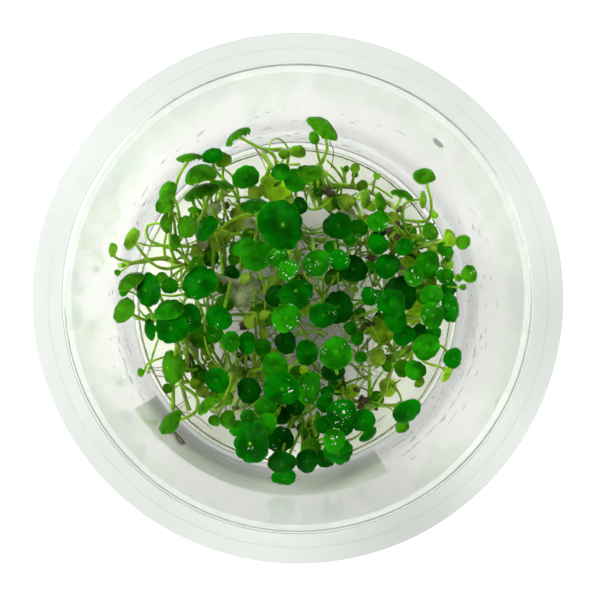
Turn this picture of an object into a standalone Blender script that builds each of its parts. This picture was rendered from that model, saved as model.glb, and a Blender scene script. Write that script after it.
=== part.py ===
"""Whorled pennywort growing on nutrient jelly in an opened clear culture cup.

Metres, +Z up. The origin is the centre of the cup's base, on the surface it stands on.
Looking down on the cup, +X is to the right and +Y is up the picture.
"""
from collections import namedtuple
from math import cos, pi, radians, sin

import bmesh
import bpy
from mathutils import Vector
from mathutils.geometry import interpolate_bezier, intersect_point_line

MM = 0.001
GAP = 0.3 * MM
GAP_ON_SLOPE = 1.2 * GAP

# Cup
CUP_SIDES = 64
RIM_RADIUS = 50.0 * MM
RIM_HEIGHT = 62.0 * MM
LIP_RADIUS = 44.0 * MM
LIP_OUTER_RADIUS = 47.0 * MM
LIP_RISE = 1.6 * MM
LIP_CHAMFER = 0.6 * MM
FLANGE_THICKNESS = 0.9 * MM
FLANGE_CHAMFER = 0.3 * MM
WALL_THICKNESS = 0.7 * MM
FLOOR_TOP = 2.0 * MM
FLOOR_RADIUS = 36.5 * MM
CORNER = 1.0 * MM
FOOT_RING_INNER = 34.0 * MM
FOOT_RECESS = 0.5 * MM

# Jelly
JELLY_TOP = 12.0 * MM
MENISCUS_RISE = 0.8 * MM
MENISCUS_WIDTH = 2.2 * MM

# Label, in whole facets of the cup so that it lies on them evenly
LABEL_FIRST_SIDE = -26
LABEL_SIDES = 15
LABEL_BOTTOM = 4.0 * MM
LABEL_TOP = 30.0 * MM
LABEL_THICKNESS = 0.2 * MM

# Plant
RUNNER_RADIUS = 0.65 * MM
RUNNER_STEPS = 2
STALK_RADIUS = 0.33 * MM
STALK_STEPS = 6
BLADE_THICKNESS = 0.45 * MM
DOME = 0.22
SCALLOP = 0.07
LARGE_LEAF = 2.6 * MM
LOBES_LARGE = 7
LOBES_SMALL = 6
NECK = 1.3 * MM
SHOOT = 1.0 * MM
LIFT_SHARE = 0.45
ARRIVE_SHARE = 0.25

# Places on the plant are read in the 600 x 600 picture. A reading fixes a line of sight from
# the eye, and the height above the floor fixes the point along it.
UP = Vector((0.0, 0.0, 1.0))
EYE = Vector((-3.1, -6.8, 352.0)) * MM
PICTURE_CENTRE = (298.5, 297.0)
PICTURE_SCALE = 0.1883 * MM

# Colours, in linear light: base colour and roughness
CLEAR_PLASTIC = ((0.82, 0.86, 0.81), 0.08)
JELLY = ((0.62, 0.66, 0.55), 0.15)
LABEL_GREY = ((0.42, 0.46, 0.38), 0.6)
RUNNER_GREEN = ((0.16, 0.27, 0.05), 0.45)
LEAF_GREENS = {
    "dark": ((0.004, 0.055, 0.003), 0.3),
    "mid": ((0.008, 0.13, 0.004), 0.3),
    "bright": ((0.015, 0.22, 0.005), 0.28),
    "light": ((0.07, 0.33, 0.01), 0.35),
}

# Creeping stems: readings from end to end, each with its height in millimetres
RUNNERS = {
    "runner_01": (
        (262, 153, 13), (279, 176, 13), (302, 189, 13), (332, 187, 13), (364, 190, 13), (392, 206, 13),
    ),
    "runner_02": (
        (401, 216, 13), (408, 236, 13), (417, 262, 13), (423, 296, 13), (418, 328, 13), (408, 354, 13),
    ),
    "runner_03": (
        (121, 266, 27), (146, 261, 20), (168, 259, 14), (190, 268, 13), (236, 285, 13), (292, 300, 13),
    ),
    "runner_04": ((150, 316, 14), (166, 328, 13), (180, 348, 13), (182, 380, 13), (190, 410, 13)),
    "runner_05": ((322, 294, 13), (346, 310, 13), (372, 330, 13), (394, 353, 13), (387, 380, 13)),
    "runner_06": ((232, 366, 13), (256, 372, 13), (282, 392, 13), (303, 422, 13), (320, 448, 13)),
    "runner_07": ((338, 380, 13), (350, 398, 13), (372, 404, 13), (397, 405, 13)),
    "runner_08": ((176, 241, 13), (196, 227, 13), (214, 207, 13), (230, 190, 13), (247, 176, 13)),
    "runner_09": ((258, 230, 13), (290, 236, 13), (322, 241, 13), (350, 245, 13), (380, 240, 13)),
}

# Leaves. seen: the blade's centre in the picture; height, radius: millimetres; lean: degrees
# that the blade's face leans from level; facing: the way it leans, anticlockwise from +X;
# foot: where its stalk leaves the runner; via: readings along the stalk, from the foot up.
Leaf = namedtuple("Leaf", "seen height radius lean facing tone runner foot via", defaults=((),))
LEAVES = (
    Leaf((190, 157), 38, 2.8, 64, 100, "mid", "runner_03", (173, 261), ((171, 243), (173, 208), (179, 178))),
    Leaf((200, 173), 41, 3.3, 34, 110, "bright", "runner_08", (227, 193), ((222, 186), (208, 177))),
    Leaf((202, 190), 35, 3.7, 58, 80, "mid", "runner_08", (199, 224)),
    Leaf((222, 184), 29, 2.7, 64, 85, "mid", "runner_08", (219, 202)),
    Leaf((167, 191), 33, 2.3, 42, 145, "light", "runner_08", (182, 237)),
    Leaf(
        (164, 223), 25, 2.3, 64, 180, "light", "runner_03", (194, 270),
        ((180, 252), (166, 247), (150, 240), (149, 226)),
    ),
    Leaf((204, 228), 33, 3.1, 46, 165, "dark", "runner_08", (212, 209)),
    Leaf((237, 134), 40, 3.3, 66, 124, "mid", "runner_01", (277, 173), ((274, 156), (257, 147))),
    Leaf((310, 172), 32, 2.5, 38, 80, "mid", "runner_01", (312, 189)),
    Leaf((282, 225), 43, 5.1, 26, 350, "mid", "runner_09", (282, 235)),
    Leaf((255, 204), 33, 3.4, 58, 95, "dark", "runner_09", (260, 230)),
    Leaf((325, 128), 43, 3.4, 28, 70, "mid", "runner_01", (325, 188), ((319, 168), (327, 150))),
    Leaf((402, 193), 37, 2.4, 60, 75, "light", "runner_01", (389, 204)),
    Leaf((338, 226), 35, 3.0, 5, 90, "dark", "runner_09", (336, 243)),
    Leaf((378, 221), 33, 2.3, 15, 60, "mid", "runner_09", (366, 243)),
    Leaf((424, 177), 41, 2.5, 50, 85, "light", "runner_02", (403, 221), ((426, 221), (431, 204))),
    Leaf((463, 242), 38, 1.6, 20, 20, "light", "runner_02", (411, 245)),
    Leaf((427, 265), 31, 2.9, 10, 0, "dark", "runner_02", (417, 262)),
    Leaf((469, 274), 38, 1.8, 15, 10, "light", "runner_02", (420, 277)),
    Leaf((452, 308), 33, 3.1, 48, 0, "bright", "runner_02", (423, 303)),
    Leaf((426, 347), 36, 2.8, 10, 330, "bright", "runner_02", (416, 334)),
    Leaf((453, 358), 38, 2.0, 18, 340, "mid", "runner_02", (410, 349), ((438, 345),)),
    Leaf((391, 303), 37, 3.1, 8, 20, "bright", "runner_05", (356, 317)),
    Leaf((387, 266), 31, 2.7, 10, 30, "mid", "runner_09", (377, 241)),
    Leaf((112, 250), 41, 1.5, 60, 180, "light", "runner_03", (123, 265), ((117, 258),)),
    Leaf((131, 238), 40, 2.4, 56, 150, "light", "runner_03", (184, 266), ((166, 269), (150, 261))),
    Leaf((131, 279), 37, 2.9, 58, 118, "mid", "runner_04", (157, 321)),
    Leaf((148, 290), 38, 3.4, 38, 175, "mid", "runner_04", (164, 326)),
    Leaf((123, 309), 38, 3.0, 50, 150, "mid", "runner_04", (151, 317)),
    Leaf((200, 282), 41, 3.6, 18, 120, "bright", "runner_03", (206, 274)),
    Leaf((172, 328), 39, 3.4, 10, 200, "dark", "runner_04", (173, 337)),
    Leaf((219, 318), 34, 2.7, 8, 180, "bright", "runner_03", (232, 284)),
    Leaf((170, 367), 24, 3.6, 48, 180, "light", "runner_04", (182, 362)),
    Leaf((170, 419), 37, 3.0, 50, 140, "mid", "runner_04", (182, 384), ((197, 396), (197, 410), (184, 418))),
    Leaf((217, 380), 34, 2.7, 10, 220, "mid", "runner_06", (234, 366)),
    Leaf((296, 292), 35, 3.8, 42, 100, "bright", "runner_03", (291, 300)),
    Leaf((286, 318), 39, 3.0, 5, 260, "bright", "runner_03", (276, 296)),
    Leaf((317, 263), 36, 2.9, 5, 30, "bright", "runner_09", (312, 240)),
    Leaf((323, 315), 38, 2.8, 8, 300, "mid", "runner_05", (324, 296)),
    Leaf((275, 367), 33, 2.9, 8, 270, "mid", "runner_06", (252, 371)),
    Leaf((282, 388), 42, 3.6, 8, 270, "bright", "runner_06", (270, 382)),
    Leaf((336, 352), 40, 3.5, 25, 80, "bright", "runner_07", (339, 382)),
    Leaf((407, 412), 37, 3.0, 38, 300, "mid", "runner_07", (395, 405)),
    Leaf((341, 413), 37, 3.1, 10, 270, "bright", "runner_07", (350, 398)),
    Leaf((251, 442), 39, 4.2, 28, 190, "mid", "runner_06", (285, 396)),
    Leaf((282, 462), 36, 2.9, 34, 270, "mid", "runner_06", (294, 409)),
    Leaf((284, 477), 30, 2.5, 40, 268, "mid", "runner_06", (303, 422)),
    Leaf((338, 452), 36, 3.3, 38, 270, "mid", "runner_06", (317, 443)),
)


def point_on_sight(u, v, height):
    """The point that is seen at the reading u, v and lies at this height above the floor."""
    x = (u - PICTURE_CENTRE[0]) * PICTURE_SCALE
    y = (PICTURE_CENTRE[1] - v) * PICTURE_SCALE
    at_rim = Vector((x, y, RIM_HEIGHT))
    share = (EYE.z - height) / (EYE.z - RIM_HEIGHT)
    return EYE + (at_rim - EYE) * share


def inner_wall_radius(height):
    """The cup's inner radius at this height: the wall is a plain cone."""
    slope = (LIP_RADIUS - FLOOR_RADIUS) / (RIM_HEIGHT - FLOOR_TOP)
    return FLOOR_RADIUS + slope * (height - FLOOR_TOP)


def smooth_route(points, steps):
    """A Catmull-Rom curve through the points, with this many steps between each two."""
    ends = [points[0] * 2 - points[1]] + list(points) + [points[-1] * 2 - points[-2]]
    route = []
    for a, b, c, d in zip(ends, ends[1:], ends[2:], ends[3:]):
        for step in range(steps):
            t = step / steps
            route.append(
                b + (c - a) * t / 2
                + (a * 2 - b * 5 + c * 4 - d) * t ** 2 / 2
                + (b * 3 - a - c * 3 + d) * t ** 3 / 2
            )
    return route + [points[-1].copy()]


def make_material(name, finish):
    colour, roughness = finish
    material = bpy.data.materials.new(name)
    material.use_nodes = True
    shader = material.node_tree.nodes["Principled BSDF"]
    shader.inputs["Base Color"].default_value = (*colour, 1.0)
    shader.inputs["Roughness"].default_value = roughness
    shader.inputs["Metallic"].default_value = 0.0
    material.diffuse_color = (*colour, 1.0)
    return material


def add_object(name, data, collection, finish=None):
    piece = bpy.data.objects.new(name, data)
    collection.objects.link(piece)
    if finish:
        data.materials.append(make_material(name, finish))
    return piece


def profile_object(name, points, collection, finish):
    """A chain of edges in the XZ plane, ready to be turned round the Z axis."""
    shape = bmesh.new()
    corners = [shape.verts.new((radius, 0.0, height)) for radius, height in points]
    for first, second in zip(corners, corners[1:]):
        shape.edges.new((first, second))
    mesh = bpy.data.meshes.new(name)
    shape.to_mesh(mesh)
    shape.free()
    return add_object(name, mesh, collection, finish)


def turn(piece, sides, angle=2 * pi):
    screw = piece.modifiers.new("Turn", "SCREW")
    screw.axis = "Z"
    screw.angle = angle
    screw.steps = sides
    screw.render_steps = sides
    screw.use_merge_vertices = True
    screw.merge_threshold = 0.00001
    screw.use_smooth_shade = True


def tube_object(name, route, radius, bevel_resolution, collection, finish=None):
    """A round bar with closed ends along the route."""
    curve = bpy.data.curves.new(name, "CURVE")
    curve.dimensions = "3D"
    curve.bevel_depth = radius
    curve.bevel_resolution = bevel_resolution
    curve.use_fill_caps = True
    spline = curve.splines.new("POLY")
    spline.points.add(len(route) - 1)
    for knot, place in zip(spline.points, route):
        knot.co = (*place, 1.0)
    return add_object(name, curve, collection, finish)


def tube_mesh(name, route, radius, bevel_resolution, collection):
    """The same bar as a welded mesh, fit for a Boolean."""
    guide = tube_object(name, route, radius, bevel_resolution, collection)
    bpy.context.view_layer.update()
    evaluated = guide.evaluated_get(bpy.context.evaluated_depsgraph_get())
    mesh = bpy.data.meshes.new_from_object(evaluated)
    bpy.data.objects.remove(guide)
    shape = bmesh.new()
    shape.from_mesh(mesh)
    bmesh.ops.remove_doubles(shape, verts=shape.verts, dist=0.00001)
    bmesh.ops.recalc_face_normals(shape, faces=shape.faces)
    shape.to_mesh(mesh)
    shape.free()
    return mesh


def build_cup(collection):
    """One turned solid: floor, sloping wall, raised lip, flat flange and foot ring."""
    flange_top = RIM_HEIGHT - LIP_RISE
    flange_under = flange_top - FLANGE_THICKNESS
    outer_base = FLOOR_RADIUS + WALL_THICKNESS
    outer_top = inner_wall_radius(flange_under) + WALL_THICKNESS
    points = (
        (0.0, FLOOR_TOP),
        (FLOOR_RADIUS - CORNER, FLOOR_TOP),
        (inner_wall_radius(FLOOR_TOP + CORNER), FLOOR_TOP + CORNER),
        (inner_wall_radius(RIM_HEIGHT - LIP_CHAMFER), RIM_HEIGHT - LIP_CHAMFER),
        (LIP_RADIUS + LIP_CHAMFER, RIM_HEIGHT),
        (LIP_OUTER_RADIUS - LIP_CHAMFER, RIM_HEIGHT),
        (LIP_OUTER_RADIUS, RIM_HEIGHT - LIP_CHAMFER),
        (LIP_OUTER_RADIUS, flange_top),
        (RIM_RADIUS - FLANGE_CHAMFER, flange_top),
        (RIM_RADIUS, flange_top - FLANGE_CHAMFER),
        (RIM_RADIUS, flange_under),
        (outer_top, flange_under),
        (outer_base, CORNER),
        (outer_base - CORNER, 0.0),
        (FOOT_RING_INNER, 0.0),
        (FOOT_RING_INNER - FOOT_RECESS, FOOT_RECESS),
        (0.0, FOOT_RECESS),
    )
    cup = profile_object("cup", points, collection, CLEAR_PLASTIC)
    turn(cup, CUP_SIDES)
    return cup


def build_gel(collection):
    """The jelly fills the bottom of the cup and creeps a little way up the wall."""
    bottom = FLOOR_TOP + GAP
    edge_top = JELLY_TOP + MENISCUS_RISE
    edge_radius = inner_wall_radius(edge_top) - GAP
    points = (
        (0.0, JELLY_TOP),
        (edge_radius - MENISCUS_WIDTH, JELLY_TOP),
        (edge_radius, edge_top),
        (inner_wall_radius(bottom + CORNER) - GAP_ON_SLOPE, bottom + CORNER),
        (FLOOR_RADIUS - CORNER - GAP_ON_SLOPE, bottom),
        (0.0, bottom),
    )
    gel = profile_object("gel", points, collection, JELLY)
    turn(gel, CUP_SIDES)
    return gel


def build_label(collection):
    """A bare strip round part of the outer wall."""
    offset = WALL_THICKNESS + GAP
    points = (
        (inner_wall_radius(LABEL_TOP) + offset, LABEL_TOP),
        (inner_wall_radius(LABEL_BOTTOM) + offset, LABEL_BOTTOM),
    )
    side_angle = 2 * pi / CUP_SIDES
    label = profile_object("label", points, collection, LABEL_GREY)
    label.rotation_euler.z = LABEL_FIRST_SIDE * side_angle
    turn(label, LABEL_SIDES, LABEL_SIDES * side_angle)
    paper = label.modifiers.new("Paper", "SOLIDIFY")
    paper.thickness = LABEL_THICKNESS
    paper.offset = 1.0
    return label


def runner_route(name):
    points = [point_on_sight(u, v, height * MM) for u, v, height in RUNNERS[name]]
    return smooth_route(points, RUNNER_STEPS)


def build_runner(name, collection):
    return tube_object(name, runner_route(name), RUNNER_RADIUS, 1, collection, RUNNER_GREEN)


def foot_frame(leaf):
    """The place on top of the runner nearest to the reading of the foot, and the way out of it."""
    hint = point_on_sight(*leaf.foot, JELLY_TOP)
    route = runner_route(leaf.runner)
    nearest = None
    for start, end in zip(route, route[1:]):
        share = intersect_point_line(hint, start, end)[1]
        place = start.lerp(end, min(max(share, 0.0), 1.0))
        distance = (place.xy - hint.xy).length
        if nearest is None or distance < nearest[0]:
            nearest = (distance, place, (end - start).normalized())
    place, along = nearest[1:]
    upright = (UP - along * along.dot(UP)).normalized()
    return place + upright * (RUNNER_RADIUS + GAP), upright


def blade_frame(leaf):
    """The blade's centre and the direction that its upper face looks."""
    centre = point_on_sight(*leaf.seen, leaf.height * MM)
    lean = radians(leaf.lean)
    facing = radians(leaf.facing)
    normal = Vector((sin(lean) * cos(facing), sin(lean) * sin(facing), cos(lean)))
    return centre, normal


def stalk_route(leaf):
    """From the runner up to the blade, through the readings where the stalk is seen."""
    foot, upright = foot_frame(leaf)
    centre, normal = blade_frame(leaf)
    neck = centre - normal * NECK
    tip = centre - normal * BLADE_THICKNESS / 2
    if leaf.via:
        spans = len(leaf.via) + 1
        points = [foot, foot + upright * SHOOT]
        for index, (u, v) in enumerate(leaf.via, start=1):
            height = foot.z + (neck.z - foot.z) * index / spans
            points.append(point_on_sight(u, v, height))
        points.append(neck)
        return smooth_route(points, 2) + [tip]
    reach = (neck - foot).length
    lift = foot + upright * LIFT_SHARE * reach
    arrive = neck - normal * ARRIVE_SHARE * reach
    return list(interpolate_bezier(foot, lift, arrive, neck, STALK_STEPS)) + [tip]


def blade_mesh(name, leaf):
    """A thin round cap with a scalloped edge, its middle higher than its rim."""
    centre, normal = blade_frame(leaf)
    radius = leaf.radius * MM
    lobes = LOBES_LARGE if radius > LARGE_LEAF else LOBES_SMALL
    turned = UP.rotation_difference(normal).to_matrix()
    shape = bmesh.new()
    bmesh.ops.create_circle(shape, cap_ends=True, cap_tris=True, segments=2 * lobes, radius=radius)
    rim = [vert for vert in shape.verts if vert.co.length > radius / 2]
    for vert in shape.verts:
        if vert in rim:
            vert.co.z = -DOME * radius
    bays = [vert for index, vert in enumerate(rim) if index % 2]
    bmesh.ops.scale(shape, vec=(1 - SCALLOP, 1 - SCALLOP, 1.0), verts=bays)
    bmesh.ops.rotate(shape, cent=(0.0, 0.0, 0.0), matrix=turned, verts=shape.verts)
    bmesh.ops.translate(shape, vec=centre, verts=shape.verts)
    bmesh.ops.solidify(shape, geom=list(shape.faces), thickness=BLADE_THICKNESS)
    bmesh.ops.recalc_face_normals(shape, faces=shape.faces)
    mesh = bpy.data.meshes.new(name)
    shape.to_mesh(mesh)
    shape.free()
    return mesh


def build_leaf(number, leaf, collection, cutters):
    name = f"leaf_{number:02d}"
    piece = add_object(name, blade_mesh(name, leaf), collection, LEAF_GREENS[leaf.tone])
    stalk_data = tube_mesh(f"{name}_stalk", stalk_route(leaf), STALK_RADIUS, 0, cutters)
    stalk = add_object(f"{name}_stalk", stalk_data, cutters)
    stalk.hide_render = True
    stalk.display_type = "WIRE"
    grown = piece.modifiers.new("Stalk", "BOOLEAN")
    grown.operation = "UNION"
    grown.solver = "EXACT"
    grown.object = stalk
    return piece


def main():
    for old in list(bpy.data.objects):
        bpy.data.objects.remove(old)
    plant = bpy.data.collections.new("whorled_pennywort")
    cutters = bpy.data.collections.new("cutters")
    bpy.context.scene.collection.children.link(plant)
    bpy.context.scene.collection.children.link(cutters)
    build_cup(plant)
    build_gel(plant)
    build_label(plant)
    for name in RUNNERS:
        build_runner(name, plant)
    for number, leaf in enumerate(LEAVES, start=1):
        build_leaf(number, leaf, plant, cutters)


main()
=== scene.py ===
# Whorled pennywort in an opened culture cup: finishes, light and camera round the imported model.
import bmesh
import bpy
import math
import random
from mathutils import Matrix, Vector, noise
from mathutils.geometry import interpolate_bezier, intersect_point_line


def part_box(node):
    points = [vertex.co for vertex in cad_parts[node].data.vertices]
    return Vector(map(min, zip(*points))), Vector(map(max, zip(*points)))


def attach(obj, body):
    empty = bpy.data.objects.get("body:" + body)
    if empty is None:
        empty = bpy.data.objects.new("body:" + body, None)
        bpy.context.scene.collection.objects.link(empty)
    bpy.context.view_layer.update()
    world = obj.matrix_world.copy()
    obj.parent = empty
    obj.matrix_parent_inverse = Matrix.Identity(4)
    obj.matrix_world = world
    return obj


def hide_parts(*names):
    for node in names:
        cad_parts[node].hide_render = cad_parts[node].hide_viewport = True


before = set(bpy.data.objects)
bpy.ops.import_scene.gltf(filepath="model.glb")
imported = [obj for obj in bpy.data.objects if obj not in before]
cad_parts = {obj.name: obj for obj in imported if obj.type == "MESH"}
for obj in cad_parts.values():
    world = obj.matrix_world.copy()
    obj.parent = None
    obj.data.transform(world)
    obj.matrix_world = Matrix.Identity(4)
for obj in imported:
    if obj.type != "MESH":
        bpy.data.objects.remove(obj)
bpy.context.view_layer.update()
mm = 0.001
up = Vector((0.0, 0.0, 1.0))

# a reading in the 600 x 600 picture fixes a line of sight, and a height fixes the point on it
sight = {
    "eye": Vector((-3.1, -6.8, 352.0)) * mm,
    "centre": (298.5, 297.0),
    "scale": 0.1883 * mm,
    "rim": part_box("cup")[1][2],
}


def seenPoint(u, v, height):
    atRim = Vector((u - sight["centre"][0], sight["centre"][1] - v, 0.0)) * sight["scale"]
    atRim.z = sight["rim"]
    share = (sight["eye"].z - height) / (sight["eye"].z - sight["rim"])
    return sight["eye"] + (atRim - sight["eye"]) * share


def smoothRoute(points, steps):
    # Catmull-Rom through given points
    ends = [points[0] * 2 - points[1]] + list(points) + [points[-1] * 2 - points[-2]]
    route = []
    for a, b, c, d in zip(ends, ends[1:], ends[2:], ends[3:]):
        for step in range(steps):
            t = step / steps
            route.append(
                b + (c - a) * t / 2
                + (a * 2 - b * 5 + c * 4 - d) * t ** 2 / 2
                + (b * 3 - a - c * 3 + d) * t ** 3 / 2
            )
    return route + [points[-1].copy()]


# shader helpers
def setSockets(node, values):
    for name, value in values.items():
        node.inputs[name].default_value = value


def newMaterial(name, values):
    material = bpy.data.materials.new(name)
    material.use_nodes = True
    tree = material.node_tree
    shader = tree.nodes["Principled BSDF"]
    setSockets(shader, values)
    return material, tree, shader


def objectPlace(tree):
    return tree.nodes.new("ShaderNodeTexCoord").outputs["Object"]


def splitParts(tree, value):
    node = tree.nodes.new("ShaderNodeSeparateXYZ")
    tree.links.new(value, node.inputs[0])
    return node.outputs


def mathNode(tree, operation, *values, clamp=False):
    node = tree.nodes.new("ShaderNodeMath")
    node.operation = operation
    node.use_clamp = clamp
    for socket, value in zip(node.inputs, values):
        if isinstance(value, (int, float)):
            socket.default_value = value
        else:
            tree.links.new(value, socket)
    return node.outputs[0]


def mixColours(tree, share, first, second):
    node = tree.nodes.new("ShaderNodeMix")
    node.data_type = "RGBA"
    sockets = {socket.identifier: socket for socket in node.inputs}
    for key, value in (("Factor_Float", share), ("A_Color", first), ("B_Color", second)):
        if isinstance(value, tuple):
            sockets[key].default_value = (*value, 1.0)
        else:
            tree.links.new(value, sockets[key])
    return [socket for socket in node.outputs if socket.identifier == "Result_Color"][0]


def noiseNode(tree, scale, detail, roughness):
    node = tree.nodes.new("ShaderNodeTexNoise")
    setSockets(node, {"Scale": scale, "Detail": detail, "Roughness": roughness})
    tree.links.new(objectPlace(tree), node.inputs["Vector"])
    return node.outputs["Fac"]


def softStep(tree, value, low, high):
    node = tree.nodes.new("ShaderNodeMapRange")
    node.interpolation_type = "SMOOTHSTEP"
    setSockets(node, {"From Min": low, "From Max": high})
    tree.links.new(value, node.inputs["Value"])
    return node.outputs["Result"]


def addBump(tree, shader, height, distance, strength):
    node = tree.nodes.new("ShaderNodeBump")
    setSockets(node, {"Distance": distance, "Strength": strength})
    tree.links.new(height, node.inputs["Height"])
    tree.links.new(node.outputs["Normal"], shader.inputs["Normal"])


# leaf finishes: upper face, underside and stalk for each tone
leafTones = {
    "dark": ((0.0004, 0.041, 0.0003), (0.014, 0.120, 0.003), (0.090, 0.280, 0.005)),
    "mid": ((0.0005, 0.094, 0.0001), (0.030, 0.180, 0.004), (0.130, 0.340, 0.007)),
    "bright": ((0.008, 0.165, 0.0006), (0.040, 0.240, 0.005), (0.160, 0.370, 0.009)),
    "fresh": ((0.022, 0.130, 0.0008), (0.060, 0.260, 0.006), (0.190, 0.400, 0.012)),
    "light": ((0.030, 0.170, 0.0014), (0.090, 0.310, 0.010), (0.220, 0.430, 0.020)),
    "lime": ((0.080, 0.215, 0.006), (0.100, 0.250, 0.010), (0.220, 0.430, 0.020)),
    "pale": ((0.210, 0.450, 0.010), (0.200, 0.380, 0.020), (0.240, 0.420, 0.035)),
    "olive": ((0.170, 0.300, 0.018), (0.150, 0.260, 0.018), (0.150, 0.300, 0.018)),
    "bleached": ((0.280, 0.340, 0.150), (0.280, 0.340, 0.150), (0.210, 0.310, 0.060)),
}
lightTones = ("light", "lime", "pale")
lightLeaves = (5, 6, 13, 16, 17, 19, 25, 26, 33)  # large leaves counted as light
bladeFinish = {
    "roughness": 0.22,  # of the wettest patches
    "dryRoughness": 0.22,  # gained in the dry ones
    "wetScale": 700.0,
    "specular": 0.014,
    "veinGain": (1.5, 1.4, 1.5),  # veins are paler than the face
    "veinLift": (0.012, 0.03, 0.001),
    "veinWidth": 0.022,
    "veinTaper": 0.12,
    "veinShare": 0.16,
    "veinEnd": 1.05,
    "forkStart": 0.45,
    "forkSpread": 0.55,
    "forkStrength": 0.6,
    "dotLift": (0.03, 0.06, 0.002),  # the spot over the stalk is paler than the veins
    "dotRange": (0.192, 0.048),  # shares of the blade's radius
    "dotShare": 0.32,
    # painted sheen: a paler rim standing for the shine of the wet margin
    "rimSheenRange": (0.93, 1.0),
    "rimSheenShare": 0.35,
    "darker": 0.45,
    "lighter": 1.40,
    "mottleScale": 420.0,
    "driftScale": 180.0,
    "patchRange": (0.35, 0.65),
    "reliefScale": 900.0,
    "reliefDepth": 0.06 * mm,
    "veinRelief": 0.6,
}


def scaled(colour, gain):
    return tuple(channel * gain for channel in colour)


def lifted(colour, lifts):
    return tuple(channel + lift for channel, lift in zip(colour, lifts))


def bladeFaceMaterial(name, face):
    look = bladeFinish
    veinTone = lifted([channel * gain for channel, gain in zip(face, look["veinGain"])], look["veinLift"])
    paleDot = lifted(veinTone, look["dotLift"])
    material, tree, shader = newMaterial(name, {"Specular IOR Level": look["specular"]})

    def calc(operation, *values, clamp=False):
        return mathNode(tree, operation, *values, clamp=clamp)

    polar = tree.nodes.new("ShaderNodeUVMap")
    polar.uv_map = "bladePolar"
    around, outward = splitParts(tree, polar.outputs["UV"])[:2]
    # a vein runs up the middle of each lobe and forks on the way
    fromVein = calc("ABSOLUTE", calc("SUBTRACT", calc("FRACT", around), 0.5))
    width = calc("DIVIDE", look["veinWidth"], calc("ADD", outward, look["veinTaper"]))
    mainVein = calc("SUBTRACT", 1.0, calc("DIVIDE", fromVein, width), clamp=True)
    beyond = calc("SUBTRACT", outward, look["forkStart"])
    fromFork = calc("ABSOLUTE", calc("SUBTRACT", fromVein, calc("MULTIPLY", beyond, look["forkSpread"])))
    fork = calc("SUBTRACT", 1.0, calc("DIVIDE", fromFork, width), clamp=True)
    fork = calc("MULTIPLY", fork, calc("GREATER_THAN", beyond, 0.0))
    veins = calc("MAXIMUM", mainVein, calc("MULTIPLY", fork, look["forkStrength"]))
    veins = calc("MULTIPLY", veins, calc("SUBTRACT", look["veinEnd"], outward, clamp=True))
    # mottled green, with veins, a paler edge that is painted sheen, and the spot over the stalk
    mottle = calc("MULTIPLY", noiseNode(tree, look["mottleScale"], 4.0, 0.6), 0.5)
    drift = calc("MULTIPLY", noiseNode(tree, look["driftScale"], 1.0, 0.5), 0.5)
    patches = softStep(tree, calc("ADD", mottle, drift), *look["patchRange"])
    edge = softStep(tree, outward, *look["rimSheenRange"])
    dot = softStep(tree, outward, *look["dotRange"])
    colour = mixColours(tree, patches, scaled(face, look["darker"]), scaled(face, look["lighter"]))
    colour = mixColours(tree, calc("MULTIPLY", veins, look["veinShare"]), colour, veinTone)
    colour = mixColours(tree, calc("MULTIPLY", edge, look["rimSheenShare"]), colour, veinTone)
    colour = mixColours(tree, calc("MULTIPLY", dot, look["dotShare"]), colour, paleDot)
    tree.links.new(colour, shader.inputs["Base Color"])
    wet = calc("MULTIPLY", noiseNode(tree, look["wetScale"], 2.0, 0.5), look["dryRoughness"])
    tree.links.new(calc("ADD", wet, look["roughness"]), shader.inputs["Roughness"])
    grain = noiseNode(tree, look["reliefScale"], 2.0, 0.5)
    relief = calc("SUBTRACT", grain, calc("MULTIPLY", veins, look["veinRelief"]))
    addBump(tree, shader, relief, look["reliefDepth"], 0.5)
    return material


# one colour, streaked darker and lighter
streakLook = {"range": (0.3, 0.7), "darker": 0.7, "lighter": 1.25, "specular": 0.12, "relief": 0.06 * mm}


def softMaterial(name, colour, roughness, streakScale):
    look = streakLook
    sockets = {"Roughness": roughness, "Specular IOR Level": look["specular"]}
    material, tree, shader = newMaterial(name, sockets)
    grain = noiseNode(tree, streakScale, 3.0, 0.6)
    streaks = softStep(tree, grain, *look["range"])
    streaks = mixColours(tree, streaks, scaled(colour, look["darker"]), scaled(colour, look["lighter"]))
    tree.links.new(streaks, shader.inputs["Base Color"])
    addBump(tree, shader, grain, look["relief"], 0.5)
    return material


leafMaterials = {
    tone: (
        bladeFaceMaterial("leafFace" + tone.capitalize(), face),
        softMaterial("leafUnder" + tone.capitalize(), under, 0.45, 500.0),
        softMaterial("leafStalk" + tone.capitalize(), stalk, 0.4, 400.0),
    )
    for tone, (face, under, stalk) in leafTones.items()
}

# plain finishes: colour, roughness, scale of the streaks
softLooks = {
    "stemShade": ((0.110, 0.260, 0.012), 0.45, 400.0),
    "thicketDull": ((0.190, 0.280, 0.040), 0.5, 400.0),
    "thicketRoot": ((0.340, 0.400, 0.170), 0.6, 500.0),
    "deadBrown": ((0.075, 0.062, 0.026), 0.6, 700.0),
    "stuckBrown": ((0.110, 0.060, 0.024), 0.5, 500.0),
}
softMaterials = {name: softMaterial(name, *look) for name, look in softLooks.items()}

# creeping stems are light green and go brown in patches, roots are pale and go brown
patchedLooks = {
    "stolonGreen": {
        "scale": 160.0,
        "detail": 4.0,
        "range": (0.46, 0.70),
        "colours": ((0.20, 0.38, 0.018), (0.20, 0.17, 0.040)),
        "sockets": {"Roughness": 0.42, "Specular IOR Level": 0.35},
        "relief": 0.08 * mm,
        "reliefScale": 1500.0,
    },
    "rootThread": {
        "scale": 220.0,
        "detail": 3.0,
        "range": (0.35, 0.65),
        "colours": ((0.34, 0.30, 0.20), (0.13, 0.085, 0.04)),
        "sockets": {"Roughness": 0.55},
        "relief": None,
    },
}


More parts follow.
